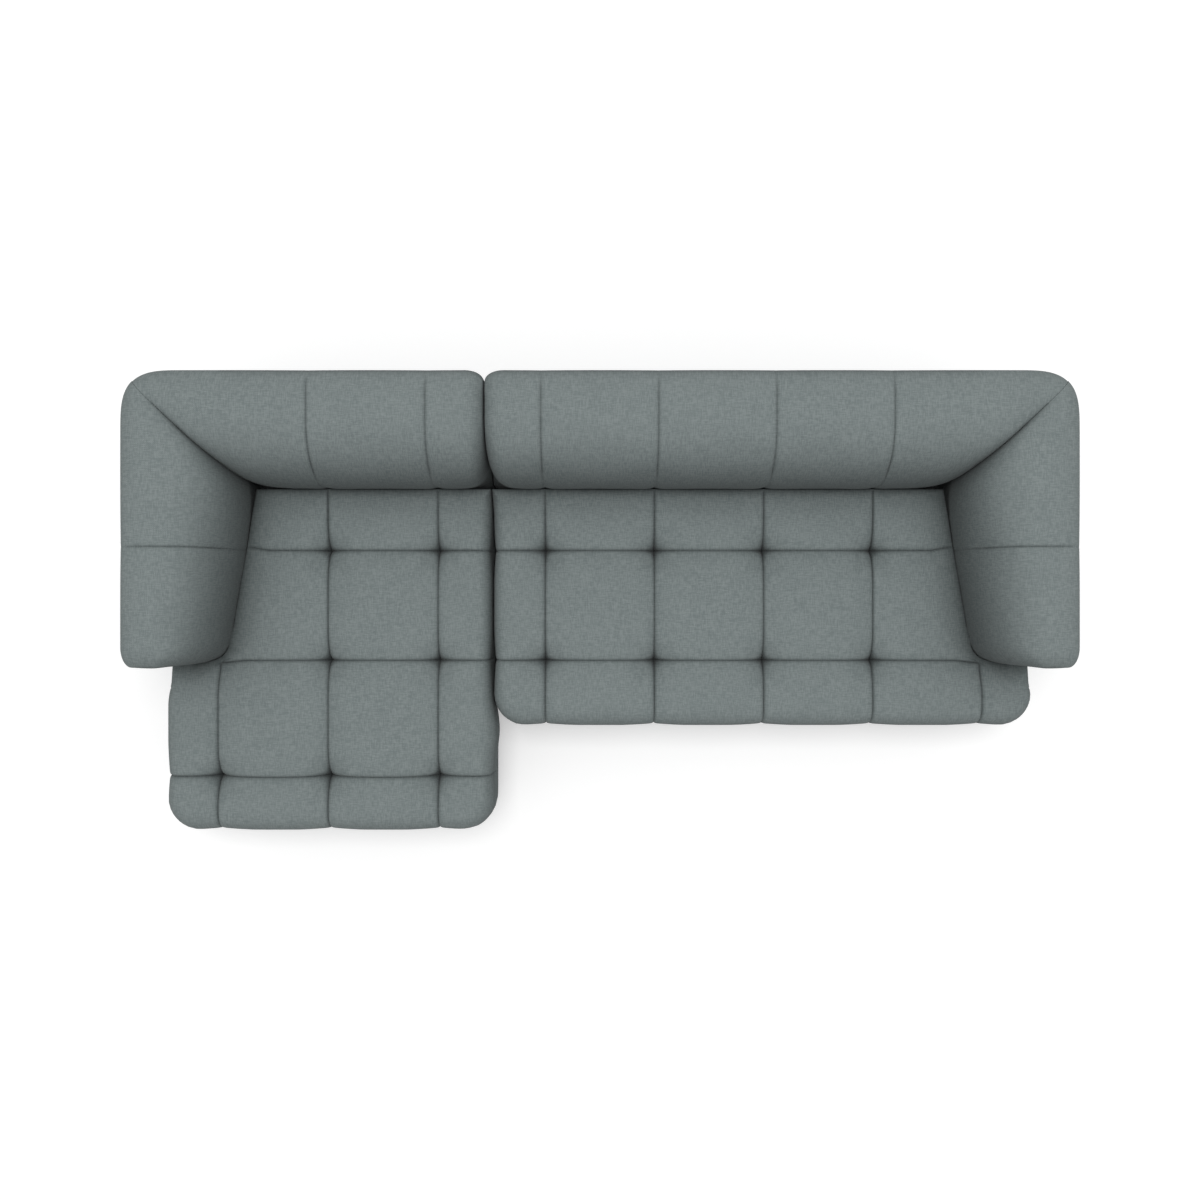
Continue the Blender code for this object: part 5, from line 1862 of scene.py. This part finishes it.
@dataclass(frozen=True)
class DustCover:
    """Thin cloth stretched under the base, with its edge turned in."""

    module: ModuleSize
    inset: float = 0.040
    top: float = 0.1297
    thickness: float = 0.0009
    hem: float = 0.012
    hem_depth: float = 0.0004
    hem_ease: float = 0.003
    corner: float = 0.110
    lines: int = 70

    @property
    def flat(self) -> tuple[float, float]:
        """Size that the cloth was cut to."""
        width = self.module.seat_outer - 2 * self.inset
        return width, SIZE.back_y - self.module.front - 2 * self.inset

    def build(self) -> bpy.types.Object:
        """Build the cloth, flat, with rounded corners and a turned-in edge."""
        width, length = self.flat
        side = self.lines
        shares = np.linspace(0, 1, side)
        x = self.inset + width * shares
        y = self.module.front + self.inset + length * shares
        grid_x, grid_y = np.meshgrid(x, y)
        rim = np.minimum(
            np.minimum(grid_x - x[0], x[-1] - grid_x), np.minimum(grid_y - y[0], y[-1] - grid_y)
        )
        low = np.full_like(grid_x, self.top - self.thickness)
        for across_end, along_end in itertools.product((0, -1), repeat=2):
            left = np.clip(1 - np.abs(grid_x - x[across_end]) / self.corner, 0, 1)
            far = np.clip(1 - np.abs(grid_y - y[along_end]) / self.corner, 0, 1)
            both = (left > 0) & (far > 0)
            pull_x = np.where(both, self.corner * left * (1 - np.sqrt(1 - far * far / 2)), 0)
            pull_y = np.where(both, self.corner * far * (1 - np.sqrt(1 - left * left / 2)), 0)
            grid_x = grid_x + (pull_x if across_end == 0 else -pull_x)
            grid_y = grid_y + (pull_y if along_end == 0 else -pull_y)
        hem = self.hem_depth * smooth_share(self.hem - rim, 0.0, self.hem_ease)
        points = [
            np.stack([self.module.x(grid_x), grid_y, height], axis=-1).reshape(-1, 3)
            for height in (low - hem, low + self.thickness)
        ]
        count = side * side
        faces = []
        for r, c in itertools.product(range(side - 1), repeat=2):
            i = r * side + c
            faces.append((i, i + 1, i + side + 1, i + side))
            faces.append(tuple(count + j for j in (i + side, i + side + 1, i + 1, i)))
        number = np.arange(count).reshape(side, side)
        border = np.concatenate([number[0], number[1:, -1], number[-1, -2::-1], number[-2:0:-1, 0]])
        faces += band(border, border + count)
        cloth = Skin(np.concatenate(points), faces).to_object(f"{self.module.name}_dust_cloth")
        shade(cloth, 40)
        return cloth


@dataclass(frozen=True)
class FeltGlide:
    """Round felt glide under a leg, with a soft edge."""

    node: str
    round_edge: float = 0.0018
    upright_share: float = 0.7
    draw_in: float = 0.0006
    sides: int = 40

    def build(self) -> bpy.types.Object:
        """Build the glide in the space of its CAD solid."""
        low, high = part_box(self.node)
        middle = (low + high) / 2
        radius, height = (high.x - low.x) / 2, high.z - low.z
        profile = [(radius - self.round_edge, 0.0)]
        for angle in (30, 60, 90):
            turn = math.radians(angle)
            reach = radius - self.round_edge * (1 - math.sin(turn))
            profile.append((reach, self.round_edge * (1 - math.cos(turn))))
        profile += [(radius, height * self.upright_share), (radius - self.draw_in, height)]
        turns = [2 * math.pi * i / self.sides for i in range(self.sides)]
        rings = []
        for reach, rise in profile:
            spots = [middle + Vector((math.cos(turn), math.sin(turn), 0.0)) * reach for turn in turns]
            rings.append([(spot.x, spot.y, low.z + rise) for spot in spots])
        glide = loft_object(f"{self.node}_pad", rings)
        shade(glide, 45)
        return glide


def with_finish(obj: bpy.types.Object, material: bpy.types.Material) -> bpy.types.Object:
    """Give a piece one material."""
    obj.data.materials.clear()
    obj.data.materials.append(material)
    return obj


@dataclass
class Upholsterer:
    """Builds and dresses every piece of one module."""

    module: ModuleSize
    finishes: dict[str, bpy.types.Material]

    def join(self, obj: bpy.types.Object, slot: Slot, *nodes: str) -> bpy.types.Object:
        """Put a new piece in the place of CAD nodes.

        Args:
            obj: The piece.
            slot: The record's slot that it takes its finish from.
            nodes: The nodes that it stands for.

        Returns:
            The piece.
        """
        with_finish(obj, self.finishes[slot.value])
        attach(obj, self.module.name)
        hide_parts(*nodes)
        LOG.info("%s stands for %s", obj.name, ", ".join(nodes))
        return obj

    def covers(self) -> None:
        """The three fabric covers."""
        name = self.module.name
        covers = {
            "seat": SeatCover(self.module),
            "back": PaddedRun(self.module, is_arm=False),
            "arm": PaddedRun(self.module, is_arm=True),
        }
        for part, cover in covers.items():
            piece = self.join(cover.build(), Slot.COVER, f"{name}_{part}_cover")

    def foams(self) -> None:
        """The foam inside the covers."""
        for part in ("seat", "back", "arm"):
            node = f"{self.module.name}_{part}_foam"
            pad = self.join(FoamPad(node).build(), Slot.FOAM, node)

    def underside(self) -> None:
        """Webbing, dust cloth and glides."""
        name = self.module.name
        self.join(StrapMat(self.module).build(), Slot.WEBBING, f"{name}_webbing")
        cover = DustCover(self.module)
        cloth = self.join(cover.build(), Slot.DUST_CLOTH, f"{name}_dust_cover")
        cover.flat
        for row in ("front", "rear"):
            for column in ("arm", "joint"):
                node = f"{name}_{row}_{column}_glide"
                self.join(FeltGlide(node).build(), Slot.FELT, node)

    def build(self) -> None:
        """Build the module's pieces in order."""
        self.covers()
        self.foams()
        self.underside()


def grain_axis(node: str) -> Axis:
    """Longest direction of a CAD node."""
    low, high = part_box(node)
    span = list(high - low)
    return Axis(span.index(max(span)))


@dataclass
class FrameDresser:
    """Gives every CAD node that stays its finish."""

    finishes: dict[str, bpy.types.Material]

    def finish_of(self, node: str, slot: str) -> bpy.types.Material:
        """Finish of a node, with its grain along the node where it has one."""
        key = f"{slot}_{grain_axis(node).name}"
        return self.finishes.get(key) or self.finishes[slot]

    def dress(self) -> None:
        """Dress the nodes."""
        slots = {row["node"]: row["material_slot"] for row in frame["record"]["subparts"]}
        for node, obj in sorted(frame["nodes"].items()):
            with_finish(obj, self.finish_of(node, slots[node]))
        LOG.info("dressed %d CAD nodes", len(frame["nodes"]))


def make_finishes() -> dict[str, bpy.types.Material]:
    """Build every material of the sofa.

    Returns:
        Materials by slot, and by slot and axis for wood.
    """
    finishes = {
        Slot.COVER.value: WovenFabric().material(),
        Slot.FOAM.value: FoamBlock().material(),
        Slot.WEBBING.value: StrapWeb().material(),
        Slot.DUST_CLOTH.value: FeltedCloth(
            "black_dust_cloth", (0.045, 0.045, 0.047), (0.014, 0.014, 0.015), 0.0016
        ).material(),
        Slot.FELT.value: FeltedCloth(
            "brown_grey_felt", (0.30, 0.27, 0.24), (0.17, 0.15, 0.13), 0.0012
        ).material(),
        Slot.STEEL.value: ZincSteel().material(),
    }
    for axis in Axis:
        woods = {
            Slot.TIMBER: Grained("planed_pine", (0.66, 0.47, 0.28), (0.44, 0.27, 0.13), 0.65, axis),
            Slot.PLYWOOD: Grained("birch_plywood", (0.70, 0.54, 0.36), (0.52, 0.37, 0.22), 0.6, axis, 0.03),
            Slot.LEG: Grained(
                name="dark_stained_beech",
                light=(0.085, 0.056, 0.038),
                dark=(0.030, 0.020, 0.014),
                roughness=0.42,
                axis=axis,
                ring=0.005,
                depth=0.00015,
                coat=0.25,
            ),
        }
        for slot, wood in woods.items():
            finishes[f"{slot.value}_{axis.name}"] = wood.material()
    return finishes


# Studio


@dataclass(frozen=True)
class Studio:
    """Pale floor, soft light from above and the photograph's straight-down camera."""

    image_pixels: float = 1200.0
    focal_pixels: float = 1286.8
    camera_height: float = 4.4845
    camera_y: float = 0.0297
    sensor: float = 36.0
    floor_size: float = 40.0
    floor_tone: float = 0.25
    floor_grain: float = 0.004
    floor_roughness: float = 0.9
    seen_tone: float = 0.86
    floor_glow: float = 0.285
    sky: float = 0.62
    lamp_power: float = 562.0
    lamp_size: float = 4.3
    lamp_place: tuple[float, float, float] = (0.0, 1.2, 12.0)

    def floor(self) -> None:
        """A matt floor that the camera sees as white away from the sofa."""
        bpy.ops.mesh.primitive_plane_add(size=self.floor_size)
        plane = bpy.context.object
        plane.name = "floor"
        bench = Bench("pale_floor")
        rays = bench.node("LightPath", {}, {}, "Is Camera Ray")
        glossy = bench.node("LightPath", {}, {}, "Is Glossy Ray")
        passing = bench.node("LightPath", {}, {}, "Is Transmission Ray")
        seen = rays.maths("MAXIMUM", rays.maths("MAXIMUM", rays, glossy), passing)
        grain = self.floor_grain
        tone = bench.noise(bench.place(), 3.0, 2.0) * grain + (self.floor_tone - grain / 2)
        tone = tone + rays * (self.seen_tone - self.floor_tone)
        colour = bench.node("CombineColor", {}, {0: tone, 1: tone, 2: tone})
        bench.feed(bench.shader.inputs["Emission Color"], (1.0, 1.0, 1.0, 1.0))
        bench.feed(bench.shader.inputs["Emission Strength"], seen * self.floor_glow)
        with_finish(plane, bench.finish(colour, self.floor_roughness, Specular_IOR_Level=0.0))

    def lights(self) -> None:
        """An even sky and one large soft lamp overhead."""
        world = bpy.data.worlds.new("soft_sky")
        bpy.context.scene.world = world
        world.use_nodes = True
        tree = world.node_tree
        sky = tree.nodes["Background"]
        sky.inputs["Color"].default_value = (1.0, 1.0, 1.0, 1.0)
        path = tree.nodes.new("ShaderNodeLightPath")
        seen = path.outputs["Is Camera Ray"]
        for ray in ("Is Glossy Ray", "Is Transmission Ray"):
            either = tree.nodes.new("ShaderNodeMath")
            either.operation = "MAXIMUM"
            tree.links.new(seen, either.inputs[0])
            tree.links.new(path.outputs[ray], either.inputs[1])
            seen = either.outputs[0]
        strength = tree.nodes.new("ShaderNodeMix")
        strength.inputs["A"].default_value = self.sky
        strength.inputs["B"].default_value = 1.0
        tree.links.new(seen, strength.inputs["Factor"])
        tree.links.new(strength.outputs["Result"], sky.inputs["Strength"])
        lamp = bpy.data.lights.new("overhead_softbox", "AREA")
        lamp.energy = self.lamp_power
        lamp.size = self.lamp_size
        holder = bpy.data.objects.new("overhead_softbox", lamp)
        holder.location = self.lamp_place
        holder.rotation_euler = Vector((0, 0, -1)).rotation_difference(-Vector(self.lamp_place)).to_euler()
        bpy.context.scene.collection.objects.link(holder)

    def camera(self) -> None:
        """The camera, looking straight down."""
        lens = bpy.data.cameras.new("overhead_camera")
        lens.sensor_width = self.sensor
        lens.lens = self.focal_pixels / self.image_pixels * self.sensor
        lens.clip_end = 100.0
        eye = bpy.data.objects.new("overhead_camera", lens)
        eye.location = (0.0, self.camera_y, self.camera_height)
        bpy.context.scene.collection.objects.link(eye)
        bpy.context.scene.camera = eye
        bpy.context.scene.view_settings.view_transform = "Standard"

    def build(self) -> None:
        """Set up the floor, the light and the camera."""
        self.floor()
        self.lights()
        self.camera()


def main() -> None:
    """Dress the frame, build both modules and set up the studio."""
    logging.basicConfig(level=logging.INFO, format="%(message)s")
    finishes = make_finishes()
    FrameDresser(finishes).dress()
    for module in (CHAISE, SETTEE):
        Upholsterer(module, finishes).build()
    Studio().build()


if __name__ == "__main__":
    main()
